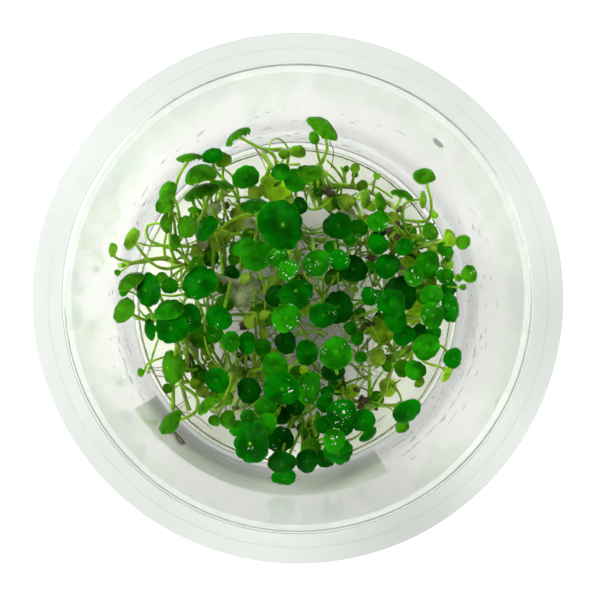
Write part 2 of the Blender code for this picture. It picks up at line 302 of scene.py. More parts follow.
def patchedMaterial(name):
    look = patchedLooks[name]
    material, tree, shader = newMaterial(name, look["sockets"])
    patches = softStep(tree, noiseNode(tree, look["scale"], look["detail"], 0.6), *look["range"])
    tree.links.new(mixColours(tree, patches, *look["colours"]), shader.inputs["Base Color"])
    if look["relief"]:
        addBump(tree, shader, noiseNode(tree, look["reliefScale"], 3.0, 0.6), look["relief"], 0.6)
    return material


# clear finishes: tint, roughness, index of refraction, share of the light let through
clearLooks = {
    "clearPlastic": ((0.960, 0.970, 0.955), 0.15, 1.49, 1.0),
    "flangePlastic": ((0.625, 0.655, 0.625), 0.20, 1.49, 1.0),
    "jellyClear": ((0.97, 0.97, 0.96), 0.08, 1.34, 1.0),
    # dew beads let only half the light through, their white standing for painted glints
    "dewPaintedGlint": ((0.94, 1.0, 0.92), 0.06, 1.33, 0.55),
    "splashClear": ((0.36, 0.38, 0.36), 0.30, 1.25, 0.30),
}


def clearMaterial(name):
    tint, roughness, ior, clearness = clearLooks[name]
    return newMaterial(name, {
        "Base Color": (*tint, 1.0),
        "Transmission Weight": clearness,
        "Roughness": roughness,
        "IOR": ior,
    })


def shadeUp(material, lower, upper, heights):
    # one colour turning into another with height
    tree = material.node_tree
    height = splitParts(tree, objectPlace(tree))[2]
    colour = mixColours(tree, softStep(tree, height, *heights), lower, upper)
    tree.links.new(colour, tree.nodes["Principled BSDF"].inputs["Base Color"])


print("finishes ready")


# mesh helpers
def toPiece(name, shape, materials, smoothAngle=50.0):
    mesh = bpy.data.meshes.new(name)
    shape.to_mesh(mesh)
    shape.free()
    mesh.shade_smooth()
    mesh.set_sharp_from_angle(angle=math.radians(smoothAngle))
    for material in materials:
        mesh.materials.append(material)
    piece = bpy.data.objects.new(name, mesh)
    bpy.context.scene.collection.objects.link(piece)
    return piece


def settle(piece, slotName, *nodes):
    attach(piece, "root")
    if nodes:
        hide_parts(*nodes)


def letLightThrough(*pieces):
    for piece in pieces:
        piece.visible_shadow = False


def turnProfile(points, steps):
    # edges from profile points, spun round Z into a closed skin
    shape = bmesh.new()
    corners = [shape.verts.new((radius, 0.0, height)) for radius, height in points]
    edges = [shape.edges.new(pair) for pair in zip(corners, corners[1:])]
    bmesh.ops.spin(
        shape, geom=corners + edges, cent=(0, 0, 0), axis=(0, 0, 1),
        angle=math.tau, steps=steps, use_merge=True,
    )
    bmesh.ops.remove_doubles(shape, verts=shape.verts, dist=0.002 * mm)
    bmesh.ops.recalc_face_normals(shape, faces=shape.faces)
    return shape


def arc(centre, radius, startDegrees, endDegrees, steps):
    points = []
    for step in range(steps + 1):
        angle = math.radians(startDegrees + (endDegrees - startDegrees) * step / steps)
        points.append((centre[0] + radius * math.cos(angle), centre[1] + radius * math.sin(angle)))
    return points


def pour(small, shape):
    # the operators are slow on a large mesh, so a small one is shaped first and then joins it
    carrier = bpy.data.meshes.new("carrier")
    small.to_mesh(carrier)
    small.free()
    shape.from_mesh(carrier)
    bpy.data.meshes.remove(carrier)


def growTube(shape, path, startRadius, endRadius, sides, materialIndex=0, swellings=()):
    # a disc pushed along the path, one extrusion for each stretch
    ahead = [*path[1:], path[-1]]
    behind = [path[0], *path[:-1]]
    tangents = [(after - before).normalized() for after, before in zip(ahead, behind)]
    tube = bmesh.new()
    turned = up.rotation_difference(tangents[0]).to_matrix().to_4x4()
    disc = bmesh.ops.create_circle(
        tube, cap_ends=True, segments=sides, radius=startRadius,
        matrix=Matrix.Translation(path[0]) @ turned,
    )
    face = disc["verts"][0].link_faces[0]
    width = startRadius
    for index in range(1, len(path)):
        share = index / (len(path) - 1)
        wanted = startRadius + (endRadius - startRadius) * share
        for place, swell, reach in swellings:
            wanted += swell * math.exp(-((share - place) / reach) ** 2)
        out = bmesh.ops.extrude_face_region(tube, geom=[face, *face.edges, *face.verts])
        face = [item for item in out["geom"] if isinstance(item, bmesh.types.BMFace)][0]
        rotation = tangents[index - 1].rotation_difference(tangents[index]).to_matrix().to_4x4()
        move = (
            Matrix.Translation(path[index]) @ rotation
            @ Matrix.Scale(wanted / width, 4) @ Matrix.Translation(-path[index - 1])
        )
        bmesh.ops.transform(tube, matrix=move, verts=list(face.verts))
        width = wanted
    bmesh.ops.recalc_face_normals(tube, faces=tube.faces)
    for face in tube.faces:
        face.material_index = materialIndex
    pour(tube, shape)


# cup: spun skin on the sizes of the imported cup
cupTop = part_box("cup")[1][2]
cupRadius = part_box("cup")[1][0]
cupLook = {
    "steps": 192,
    "lipInner": 44.0 * mm,
    "lipOuter": 47.0 * mm,
    "lipRise": 1.6 * mm,
    "flangeThick": 0.9 * mm,
    "fine": 0.15 * mm,
    "wall": 0.7 * mm,
    "floorTop": 2.0 * mm,
    "floorRadius": 36.5 * mm,
    "corner": 0.7 * mm,
    "footInner": 34.0 * mm,
    "footRecess": 0.5 * mm,
    "levels": (6, 10, 14, 20, 26, 32, 38, 44, 50, 55, 59.3),  # heights along the wall in mm
    "lipLevels": (60.4, 61.3, 61.7),
    "floorRings": (0.0, 0.3, 0.6, 0.85),
    "underRings": (0.88, 0.75, 0.5, 0.25, 0.0),
    "footRounding": ((0.2, 0.0), (-0.3, 0.04), (-1.0, 0.16), (-2.2, 0.40)),  # mm past footInner, mm up
    "lipShade": (0.780, 0.800, 0.780),  # painted shade: the wall goes greyer below the lip
    "lipShadeRange": (54.0 * mm, 59.0 * mm),
}


def wallRadius(height):
    slope = (cupLook["lipInner"] - cupLook["floorRadius"]) / (cupTop - cupLook["floorTop"])
    return cupLook["floorRadius"] + slope * (height - cupLook["floorTop"])


def cupMaterials():
    wall, tree, shader = clearMaterial("clearPlastic")
    # painted shade on the upper wall, greying towards the lip
    shadeUp(wall, clearLooks["clearPlastic"][0], cupLook["lipShade"], cupLook["lipShadeRange"])
    return [wall, clearMaterial("flangePlastic")[0]]


def makeCup():
    look = cupLook
    corner, wall, thick, fine = look["corner"], look["wall"], look["flangeThick"], look["fine"]
    flangeTop = cupTop - look["lipRise"]
    points = [(look["floorRadius"] * share, look["floorTop"]) for share in look["floorRings"]]
    points += arc((look["floorRadius"] - corner, look["floorTop"] + corner), corner, -90, -7, 8)
    points += [(wallRadius(height * mm), height * mm) for height in look["levels"] + look["lipLevels"]]
    # lip, step and flat flange with small rounded corners
    step = look["lipOuter"]
    points += arc((look["lipInner"] + fine, cupTop - fine), fine, 172, 90, 4)
    points += arc((step - 2 * fine, cupTop - fine), fine, 90, 15, 4)
    points += arc((step + fine * 0.8, flangeTop + fine), fine, 200, 270, 4)
    points += arc((cupRadius - fine, flangeTop - fine), fine, 90, 0, 4)
    points += arc((cupRadius - fine, flangeTop - thick + fine), fine, 0, -90, 4)
    points += [(wallRadius(flangeTop - thick) + wall + fine, flangeTop - thick)]
    points += [(wallRadius(height * mm) + wall, height * mm) for height in reversed(look["levels"])]
    # the outer corner and the foot ring, with the floor raised inside it
    outerCorner = corner + wall
    points += arc((look["floorRadius"] + wall - outerCorner, outerCorner), outerCorner, -7, -90, 10)
    points += [(look["footInner"] + past * mm, rise * mm) for past, rise in look["footRounding"]]
    points += [(look["footInner"] * share, look["footRecess"]) for share in look["underRings"]]
    shape = turnProfile(points, look["steps"])
    for face in shape.faces:  # the lip and flange take a darker, rougher finish than the wall
        middle = face.calc_center_median()
        if middle.z > flangeTop - thick - fine and middle.xy.length > look["lipInner"] + fine:
            face.material_index = 1
    return toPiece("cupShell", shape, cupMaterials(), smoothAngle=35.0)


cupShell = makeCup()
settle(cupShell, "clear_plastic", "cup")
letLightThrough(cupShell)
print("cup turned")


# jelly: shrunk from the wall and a little off the middle, its top gently uneven
jellyLook = {
    "top": 12.0 * mm,
    "edge": 35.1 * mm,
    "bend": 0.7 * mm,
    "foot": 0.6 * mm,
    "taper": 0.3 * mm,
    "shift": Vector((-0.20, -0.55, 0.0)) * mm,
    "gap": 0.08 * mm,
    "steps": 192,
    "rings": 26,
    "unevenness": 0.25 * mm,
    "waves": ((1.0, 130.0), (0.4, 380.0)),  # strength and scale
    "calmEdge": 9.0 * mm,
    "ripple": 0.08 * mm,
    "rippleScale": 300.0,
    "tint": (0.72, 0.75, 0.60, 1.0),
    "density": 60.0,
}


def jellyMaterial():
    look = jellyLook
    material, tree, shader = clearMaterial("jellyClear")
    addBump(tree, shader, noiseNode(tree, look["rippleScale"], 3.0, 0.55), look["ripple"], 1.0)
    absorption = tree.nodes.new("ShaderNodeVolumeAbsorption")
    setSockets(absorption, {"Color": look["tint"], "Density": look["density"]})
    tree.links.new(absorption.outputs[0], tree.nodes["Material Output"].inputs["Volume"])
    return material


def makeJelly():
    look = jellyLook
    bottom = cupLook["floorTop"] + look["gap"]
    edge, bend, top, foot = look["edge"], look["bend"], look["top"], look["foot"]
    shoulder = edge - bend
    points = [(shoulder * index / look["rings"], top) for index in range(look["rings"])]
    points += arc((shoulder, top - bend), bend, 90, 0, 10)
    points += arc((edge - look["taper"] - foot, bottom + foot), foot, 0, -90, 6)
    points += [(edge * share, bottom) for share in (0.8, 0.4, 0.0)]
    shape = turnProfile(points, look["steps"])
    for vert in shape.verts:
        radius = vert.co.xy.length
        if vert.co.z > top - 0.01 * mm and radius < shoulder:
            lift = sum(gain * noise.noise(vert.co * scale) for gain, scale in look["waves"])
            vert.co.z += look["unevenness"] * lift * min(1.0, (shoulder - radius) / look["calmEdge"])
        vert.co += look["shift"]
    return toPiece("jelly", shape, [jellyMaterial()])


jelly = makeJelly()
settle(jelly, "jelly", "gel")
letLightThrough(jelly)
print("jelly poured")

# label: the imported strip keeps its shape and gets a thin film that light comes through, painted paler low
# down where shade falls
labelLook = {
    "film": ((0.57, 0.62, 0.53), (0.69, 0.73, 0.64)),
    "paintedLightFilm": (0.90, 0.93, 0.87),  # painted light: paler low down, lifting the shade on the label's lower part
    "paintedLightRange": (7.0 * mm, 16.0 * mm),
    "fibreScale": 700.0,
    "fibreDepth": 0.03 * mm,
    "sockets": {
        "Roughness": 0.55,
        "Subsurface Weight": 0.8,
        "Subsurface Radius": (1.0, 1.0, 1.0),
        "Subsurface Scale": 0.6 * mm,
    },
}


def labelMaterial():
    look = labelLook
    material, tree, shader = newMaterial("labelFilm", look["sockets"])
    fibres = noiseNode(tree, look["fibreScale"], 4.0, 0.6)
    shadeUp(material, look["paintedLightFilm"], mixColours(tree, fibres, *look["film"]), look["paintedLightRange"])
    addBump(tree, shader, fibres, look["fibreDepth"], 0.4)
    return material


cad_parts["label"].data.materials.clear()
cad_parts["label"].data.materials.append(labelMaterial())

# creeping stems: readings with heights in mm
stolons = {
    1: ((262, 153, 13), (279, 176, 13), (302, 189, 13), (332, 187, 13), (364, 190, 13), (392, 206, 13)),
    2: ((401, 216, 13), (408, 236, 13), (417, 262, 13), (423, 296, 13), (418, 328, 13), (408, 354, 13)),
    3: ((121, 266, 27), (146, 261, 20), (168, 259, 14), (190, 268, 13), (236, 285, 13), (292, 300, 13)),
    4: ((150, 316, 14), (166, 328, 13), (180, 348, 13), (182, 380, 13), (190, 410, 13)),
    5: ((322, 294, 13), (346, 310, 13), (372, 330, 13), (394, 353, 13), (387, 380, 13)),
    6: ((232, 366, 13), (256, 372, 13), (282, 392, 13), (303, 422, 13), (320, 448, 13)),
    7: ((338, 380, 13), (350, 398, 13), (372, 404, 13), (397, 405, 13)),
    8: ((176, 241, 13), (196, 227, 13), (214, 207, 13), (230, 190, 13), (247, 176, 13)),
    9: ((258, 230, 13), (290, 236, 13), (322, 241, 13), (350, 245, 13), (380, 240, 13)),
}
stolonLook = {
    "radius": 0.62 * mm,
    "taper": (0.8, 0.7),
    "swell": 0.22 * mm,  # at the nodes
    "reach": 0.03,
    "steps": 6,
    "sides": 12,
}
stolonRoutes = {
    number: smoothRoute([seenPoint(u, v, height * mm) for u, v, height in points], stolonLook["steps"])
    for number, points in stolons.items()
}


def growStolon(number):
    shape = bmesh.new()
    look, last = stolonLook, len(stolons[number]) - 1
    foot, tip = (look["radius"] * share for share in look["taper"])
    knots = [(index / last, look["swell"], look["reach"]) for index in range(last + 1)]
    growTube(shape, stolonRoutes[number], foot, tip, look["sides"], swellings=knots)
    return shape


stolonGreen = patchedMaterial("stolonGreen")
for number in stolons:
    settle(toPiece(f"stolon_{number:02d}", growStolon(number), [stolonGreen]), "stem", f"runner_{number:02d}")
print("stolons laid")


# leaves
leafLook = {
    "thickness": 0.32 * mm,
    "flatBall": 2.4,  # radius of the ball that a blade is rounded on, in shares of its own
    "capBall": 1.28,
    "capLeans": (25.0, 50.0),  # a blade goes from flat to cap between these leans
    "lobeLeans": (42.0, 72.0),
    "lobeCounts": ((1.0, 5), (1.9, 7), (3.2, 9), (99.0, 10)),  # lobes up to a radius in mm
    "flatLobes": 0.070,
    "capLobes": 0.21,
    "unevenLobes": (0.5, 1.4),
    "pleat": 0.12,
    "oval": 0.06,
    "dimple": 0.05,
    "dimpleWidth": 0.16,
    "lobeLift": 0.05,
    "veinRidge": 0.010,
    "veinWidth": 0.09,
    "fold": 0.20,
    "wave": 0.07,
    "lobeSteps": 6,
    "rings": 7,
    "fewRings": 4,
    "smallBlade": 1.6,  # blades under this radius in mm get few rings
    "stalkRadius": 0.37 * mm,
    "stalkGrowth": (0.55, 0.16),  # share of that radius, and more for each mm of the blade's
    "stalkTaper": (1.15, 0.85),
    "stalkSides": 8,
    "neck": 1.3 * mm,
    "shoot": 1.0 * mm,
    "clear": 0.3 * mm,
    "viaSteps": 5,
    "curveSteps": 16,
    "curveHandles": (0.45, 0.25),  # shares of the way from foot to neck
}
# large leaves: tone, stem, seen centre, height, radius, lean, facing, foot, readings along the stalk
leaves = {
    1: ("fresh", 3, (190, 157), 38, 2.8, 82, 96, (173, 261), (171, 243), (173, 208), (179, 178)),
    2: ("fresh", 8, (199, 172), 41, 3.3, 60, 110, (227, 193), (222, 186), (208, 177)),
    3: ("fresh", 8, (202, 190), 35, 3.9, 76, 108, (199, 224)),
    4: ("fresh", 8, (223, 184), 29, 2.6, 78, 80, (219, 202)),
    5: ("light", 8, (167, 191), 33, 2.3, 42, 145, (182, 237)),
    6: ("fresh", 3, (164, 223), 25, 2.3, 68, 180, (194, 270), (180, 252), (166, 247), (150, 240), (149, 226)),
    7: ("mid", 8, (204, 228), 33, 3.1, 60, 150, (212, 209)),
    8: ("fresh", 1, (237, 135), 40, 3.2, 80, 124, (277, 173), (274, 156), (257, 147)),
    9: ("fresh", 1, (310, 172), 32, 2.5, 38, 80, (312, 189)),
    10: ("mid", 9, (282, 225), 43, 5.1, 26, 350, (282, 235)),
    11: ("bright", 9, (255, 204), 33, 3.4, 66, 95, (260, 230)),
    12: ("light", 1, (324, 126), 43, 3.6, 62, 52, (325, 188), (319, 168), (327, 150)),
    13: ("light", 1, (402, 193), 37, 2.6, 76, 74, (389, 204)),
    14: ("dark", 9, (338, 226), 35, 3.0, 5, 90, (336, 243)),
    15: ("bright", 9, (378, 221), 33, 2.3, 15, 60, (366, 243)),
    16: ("light", 2, (424, 174), 41, 2.5, 58, 88, (403, 221), (426, 221), (431, 204)),
    17: ("light", 2, (463, 242), 38, 1.6, 20, 20, (411, 245)),
    18: ("bright", 2, (427, 265), 31, 2.9, 10, 0, (417, 262)),
    19: ("light", 2, (469, 274), 38, 1.8, 15, 10, (420, 277)),
    20: ("mid", 2, (452, 308), 33, 3.1, 48, 0, (423, 303)),
    21: ("bright", 2, (426, 347), 36, 2.8, 10, 330, (416, 334)),
    22: ("mid", 2, (453, 358), 38, 2.1, 18, 340, (410, 349), (438, 345)),
    23: ("mid", 5, (391, 303), 37, 3.1, 8, 20, (356, 317)),
    24: ("mid", 9, (387, 266), 31, 2.7, 10, 30, (377, 241)),
    25: ("lime", 3, (112, 250), 41, 1.5, 60, 180, (123, 265), (117, 258)),
    26: ("lime", 3, (131, 238), 40, 2.4, 56, 150, (184, 266), (166, 269), (150, 261)),
    27: ("fresh", 4, (131, 279), 37, 2.9, 58, 118, (157, 321)),
    28: ("mid", 4, (148, 290), 38, 3.4, 38, 175, (164, 326)),
    29: ("fresh", 4, (123, 309), 38, 3.0, 50, 150, (151, 317)),
    30: ("mid", 3, (200, 282), 41, 3.6, 18, 120, (206, 274)),
    31: ("mid", 4, (172, 328), 39, 3.4, 10, 200, (173, 337)),
    32: ("mid", 3, (219, 318), 34, 2.7, 8, 180, (232, 284)),
    33: ("fresh", 4, (170, 367), 24, 3.6, 46, 180, (182, 362)),
    34: ("fresh", 4, (170, 419), 37, 3.0, 60, 135, (182, 384), (197, 396), (197, 410), (184, 418)),
    35: ("mid", 6, (217, 380), 34, 2.7, 10, 220, (234, 366)),
    36: ("mid", 3, (296, 292), 35, 3.8, 38, 100, (291, 300)),
    37: ("bright", 3, (286, 318), 39, 3.0, 5, 260, (276, 296)),
    38: ("bright", 9, (317, 263), 36, 2.9, 5, 30, (312, 240)),
    39: ("mid", 5, (323, 315), 38, 2.8, 8, 300, (324, 296)),
    40: ("bright", 6, (275, 367), 33, 2.9, 8, 270, (252, 371)),
    41: ("mid", 6, (282, 388), 42, 3.6, 8, 270, (270, 382)),
    42: ("bright", 7, (336, 352), 40, 3.5, 25, 80, (339, 382)),
    43: ("mid", 7, (407, 412), 37, 3.0, 38, 300, (395, 405)),
    44: ("mid", 7, (341, 413), 37, 3.1, 10, 270, (350, 398)),
    45: ("mid", 6, (251, 442), 39, 4.2, 28, 190, (285, 396)),
    46: ("dark", 6, (282, 462), 36, 2.9, 34, 270, (294, 409)),
    47: ("mid", 6, (284, 477), 30, 2.5, 40, 268, (303, 422)),
    48: ("mid", 6, (338, 452), 36, 3.3, 38, 270, (317, 443)),
}
# leaves seen from the side as full caps: radius of the ball that each is rounded on, in shares of its own
fullCaps = {1: 1.25, 2: 1.06, 3: 1.15, 8: 1.25, 12: 1.2, 13: 1.25, 16: 1.04}
# smaller leaves, in tufts on the same stems: seen centre, height, radius, lean, facing, foot, readings
tufts = {
    1: {
        "bright": (
            ((280, 172), 30, 2.0, 20, 150, (286, 181)), ((296, 180), 26, 2.6, 15, 80, (298, 187)),
        ),
        "light": (
            ((312, 139), 38, 1.5, 58, 200, (329, 188), (321, 166), (317, 150)),
            ((346, 169), 20, 0.7, 10, 90, (342, 187)), ((355, 175), 18, 0.7, 10, 0, (353, 188)),
            ((382, 202), 31, 2.0, 58, 10, (380, 199)),
        ),
        "lime": (
            ((284, 154), 28, 1.2, 20, 90, (276, 171)),
            ((298, 151), 33, 1.7, 35, 90, (283, 179), (286, 167), (291, 153)),
            ((355, 168), 22, 1.1, 20, 90, (350, 187)), ((377, 176), 24, 0.8, 20, 60, (372, 193)),
            ((362, 186), 20, 1.3, 10, 90, (361, 190)), ((367, 200), 30, 1.9, 60, 0, (366, 191)),
            ((371, 206), 24, 1.2, 30, 60, (366, 191)),
        ),
        "pale": (
            ((275, 187), 17, 3.5, 12, 200, (280, 177)), ((330, 204), 15, 1.7, 20, 300, (330, 189)),
        ),
        "olive": (((255, 193), 16, 1.7, 15, 200, (272, 168)),),
    },
    2: {
        "dark": (((400, 293), 26, 3.6, 10, 200, (422, 291)),),
        "mid": (
            ((404, 247), 32, 1.9, 10, 100, (410, 243)), ((449, 288), 28, 1.9, 20, 0, (422, 288)),
            ((403, 335), 28, 2.3, 8, 200, (412, 342)), ((395, 320), 30, 2.5, 8, 200, (420, 318)),
            ((434, 332), 28, 1.6, 20, 0, (417, 330)),
        ),
        "bright": (
            ((445, 248), 31, 1.7, 15, 20, (415, 256)), ((445, 276), 33, 1.8, 10, 0, (420, 274)),
            ((431, 296), 36, 2.4, 10, 350, (423, 295)), ((432, 315), 37, 2.7, 15, 350, (421, 310)),
            ((419, 334), 26, 2.1, 10, 330, (417, 330)), ((413, 276), 36, 2.1, 5, 200, (419, 270)),
            ((415, 370), 33, 2.2, 12, 320, (411, 350)),
        ),
        "light": (
            ((431, 231), 30, 2.1, 40, 30, (408, 236)), ((450, 256), 28, 1.6, 60, 340, (416, 259)),
            ((459, 278), 34, 0.8, 30, 0, (421, 280)), ((463, 287), 33, 0.7, 30, 0, (422, 284)),
            ((448, 300), 26, 1.5, 20, 350, (423, 299)), ((402, 368), 25, 1.9, 12, 300, (409, 352)),
            ((420, 243), 20, 1.4, 20, 0, (411, 246)),
        ),
        "lime": (
            ((424, 200), 36, 1.9, 72, 0, (402, 218)),
            ((435, 214), 36, 0.8, 40, 40, (406, 228), (432, 225)),
            ((420, 383), 31, 1.3, 50, 320, (409, 353)), ((447, 264), 26, 1.4, 20, 20, (419, 270)),
            ((431, 282), 26, 1.3, 20, 0, (421, 282)),
        ),
        "pale": (
            ((451, 237), 35, 1.9, 50, 20, (413, 250)), ((412, 318), 18, 1.6, 20, 270, (420, 321)),
            ((448, 373), 34, 2.1, 70, 335, (412, 347), (423, 361), (440, 367)),
            ((407, 262), 18, 1.4, 20, 200, (417, 262)), ((414, 308), 20, 1.8, 20, 0, (421, 306)),
        ),
        "olive": (((432, 248), 22, 1.1, 30, 340, (413, 250)),),
    },
    3: {
        "dark": (
            ((277, 296), 28, 2.5, 10, 200, (268, 294)), ((232, 273), 14.5, 1.7, 10, 200, (214, 277)),
        ),
        "bright": (((170, 286), 30, 1.8, 12, 180, (190, 269)),),
        "fresh": (((162, 278), 26, 1.4, 20, 150, (186, 267)),),
        "light": (((118, 273), 30, 0.7, 30, 200, (122, 266)),),
        "olive": (
            ((266, 319), 15, 2.0, 12, 300, (266, 294)), ((251, 320), 15, 1.9, 14, 200, (256, 290)),
        ),
        "bleached": (((241, 290), 14.2, 4.3, 6, 250, (246, 288)),),
    },
    4: {
        "mid": (
            ((190, 318), 34, 2.9, 10, 60, (168, 330)), ((149, 330), 34, 2.2, 60, 190, (160, 324)),
        ),
        "bright": (
            ((124, 291), 34, 1.2, 40, 180, (153, 318)), ((169, 307), 38, 3.3, 54, 100, (158, 322)),
        ),
        "fresh": (((202, 336), 16, 2.7, 14, 100, (176, 342)),),
        "light": (
            ((168, 388), 20, 1.2, 30, 200, (182, 374)),
            ((141, 372), 22, 0.9, 40, 180, (180, 352), (151, 362)),
            ((151, 318), 17, 1.1, 20, 180, (157, 321)),
        ),
        "pale": (((198, 382), 15, 1.6, 20, 0, (182, 380)),),
    },
    5: {
        "dark": (((338, 307), 29, 3.4, 10, 100, (334, 302)),),
        "mid": (((370, 296), 30, 2.0, 10, 30, (346, 310)),),
        "bright": (
            ((350, 328), 20, 1.5, 20, 200, (362, 322)), ((357, 338), 24, 1.5, 10, 200, (368, 327)),
            ((360, 357), 27, 1.3, 10, 200, (384, 342)),
        ),
        "fresh": (((386, 366), 16, 1.2, 20, 200, (391, 362)),),
        "pale": (((382, 330), 15, 3.1, 12, 300, (376, 334)),),
        "olive": (
            ((354, 288), 22, 1.0, 60, 90, (340, 306)), ((304, 309), 18, 1.5, 25, 200, (330, 299)),
        ),
    },
    6: {
        "dark": (
            ((286, 342), 27, 2.4, 8, 80, (262, 375)), ((249, 390), 30, 2.7, 12, 220, (258, 374)),
            ((296, 405), 27, 2.1, 10, 300, (290, 402)), ((281, 415), 25, 1.9, 10, 260, (294, 408)),
            ((280, 439), 31, 2.9, 10, 265, (298, 414)), ((307, 460), 33, 2.5, 15, 280, (309, 430)),
            ((325, 458), 27, 2.0, 12, 290, (319, 446)),
        ),
        "mid": (
            ((247, 344), 31, 2.0, 8, 90, (246, 370)), ((307, 352), 31, 2.6, 10, 60, (270, 383)),
            ((325, 403), 28, 2.0, 15, 250, (300, 415)), ((325, 424), 28, 2.1, 15, 250, (306, 428)),
        ),
        "bright": (
            ((231, 341), 33, 2.1, 8, 120, (240, 368)), ((263, 347), 26, 1.9, 10, 90, (254, 371)),
            ((215, 335), 27, 1.7, 12, 160, (233, 366)), ((311, 387), 35, 3.5, 44, 0, (282, 392)),
            ((266, 406), 31, 2.3, 8, 250, (276, 388)), ((267, 423), 36, 2.2, 10, 250, (288, 399)),
            ((248, 417), 33, 1.7, 10, 230, (280, 391)), ((334, 440), 39, 2.4, 8, 290, (314, 438)),
            ((238, 428), 30, 1.9, 20, 200, (282, 392)),
        ),
        "fresh": (((319, 416), 24, 1.3, 70, 0, (306, 425)),),
        "light": (
            ((207, 402), 33, 2.9, 72, 128, (236, 367)), ((215, 420), 30, 1.3, 20, 230, (240, 368)),
            ((228, 419), 30, 1.9, 20, 220, (250, 371)), ((226, 397), 22, 1.7, 30, 200, (242, 369)),
            ((311, 446), 25, 2.0, 10, 270, (316, 441)),
        ),
        "pale": (((304, 369), 18, 1.0, 20, 90, (276, 387)),),
        "olive": (
            ((275, 352), 20, 1.1, 20, 100, (260, 374)), ((203, 391), 16, 1.5, 20, 200, (234, 367)),
        ),
        "bleached": (((215, 407), 15, 1.6, 20, 240, (236, 368)),),
    },
    7: {
        "dark": (((333, 370), 29, 2.4, 10, 100, (338, 381)),),
        "mid": (
            ((363, 420), 35, 2.5, 12, 300, (366, 403)), ((369, 435), 33, 2.1, 62, 311, (372, 404)),
            ((327, 392), 26, 1.5, 10, 200, (344, 390)), ((346, 428), 26, 1.6, 20, 270, (350, 398)),
        ),
        "light": (((402, 426), 32, 1.5, 25, 310, (396, 405)),),
        "pale": (((352, 390), 15, 1.6, 15, 120, (350, 398)),),
    },
    8: {
        "mid": (((213, 155), 35, 2.2, 38, 95, (206, 216)),),
        "bright": (((246, 177), 22, 2.9, 22, 100, (240, 182)),),
        "fresh": (((186, 228), 28, 2.5, 40, 200, (189, 231)),),
        "light": (
            ((164, 205), 30, 2.0, 28, 170, (178, 240)), ((194, 209), 29, 1.2, 60, 90, (197, 226)),
            ((174, 242), 22, 1.6, 40, 180, (184, 236)),
        ),
        "lime": (((223, 160), 31, 1.8, 15, 90, (224, 197)),),
        "olive": (
            ((197, 254), 15, 1.6, 25, 200, (196, 228)), ((213, 243), 15, 2.4, 15, 200, (208, 215)),
            ((244, 212), 14.5, 2.2, 10, 90, (232, 188)),
        ),
    },
    9: {
        "dark": (
            ((379, 230), 26, 1.7, 10, 60, (377, 241)), ((353, 269), 29, 3.0, 10, 300, (346, 244)),
            ((301, 206), 30, 1.8, 30, 0, (298, 237)),
        ),
        "mid": (
            ((378, 244), 33, 2.2, 10, 60, (371, 243)), ((339, 260), 36, 2.2, 5, 300, (334, 243)),
        ),
        "bright": (
            ((359, 228), 30, 1.9, 8, 60, (356, 244)), ((243, 245), 31, 2.7, 50, 120, (258, 231)),
            ((257, 256), 27, 3.4, 10, 240, (264, 232)), ((278, 258), 36, 2.2, 8, 270, (276, 234)),
            ((288, 270), 38, 2.2, 5, 270, (290, 237)), ((332, 248), 17, 1.7, 20, 300, (330, 242)),
            ((349, 239), 22, 1.5, 20, 270, (350, 245)), ((371, 268), 18, 1.4, 15, 300, (366, 243)),
        ),
        "olive": (((236, 226), 15, 1.8, 20, 200, (262, 231)),),
        "bleached": (((248, 225), 15, 2.0, 20, 120, (260, 230)),),
    },
}


def footFrame(stem, reading):
    # the place on top of the stem nearest to the reading, and the way out of it
    hint = seenPoint(*reading, jellyLook["top"])
    nearest = None
    route = stolonRoutes[stem]
    for start, end in zip(route, route[1:]):
        share = intersect_point_line(hint, start, end)[1]
        place = start.lerp(end, min(max(share, 0.0), 1.0))
        distance = (place.xy - hint.xy).length
        if nearest is None or distance < nearest[0]:
            nearest = (distance, place, (end - start).normalized())
    place, along = nearest[1:]
    return place, (up - along * along.dot(up)).normalized()


def shareOf(lean, leans):
    return min(1.0, max(0.0, (lean - leans[0]) / (leans[1] - leans[0])))


def ballOf(lean):
    flat, cap = leafLook["flatBall"], leafLook["capBall"]
    return flat + (cap - flat) * shareOf(lean, leafLook["capLeans"])


def hangOf(ball, share):
    # how far a blade hangs at this share of its radius
    return ball - math.sqrt(ball ** 2 - min(share, 1.0) ** 2)


def bladeFrame(seen, height, radius, lean, facing, ball):
    # the reading is the middle of what shows, so the blade's own middle lies further along its normal
    centre = seenPoint(*seen, height * mm)
    shift = 0.5 * hangOf(ball, 1.0)
    lean, facing = math.radians(lean), math.radians(facing)
    normal = Vector((math.sin(lean) * math.cos(facing), math.sin(lean) * math.sin(facing), math.cos(lean)))
    return centre + normal * radius * mm * shift, normal


def stalkRoute(stem, reading, via, centre, normal):
    place, upright = footFrame(stem, reading)
    foot = place + upright * (stolonLook["radius"] + leafLook["clear"])
    neck = centre - normal * leafLook["neck"]
    tip = centre - normal * leafLook["thickness"] / 2
    if via:
        points = [foot, foot + upright * leafLook["shoot"]]
        for index, (u, v) in enumerate(via, start=1):
            points.append(seenPoint(u, v, foot.z + (neck.z - foot.z) * index / (len(via) + 1)))
        route = smoothRoute([*points, neck], leafLook["viaSteps"])
    else:
        reach = (neck - foot).length
        first, last = leafLook["curveHandles"]
        lift = foot + upright * first * reach
        arrive = neck - normal * last * reach
        route = interpolate_bezier(foot, lift, arrive, neck, leafLook["curveSteps"])
    return [place, *route, tip]


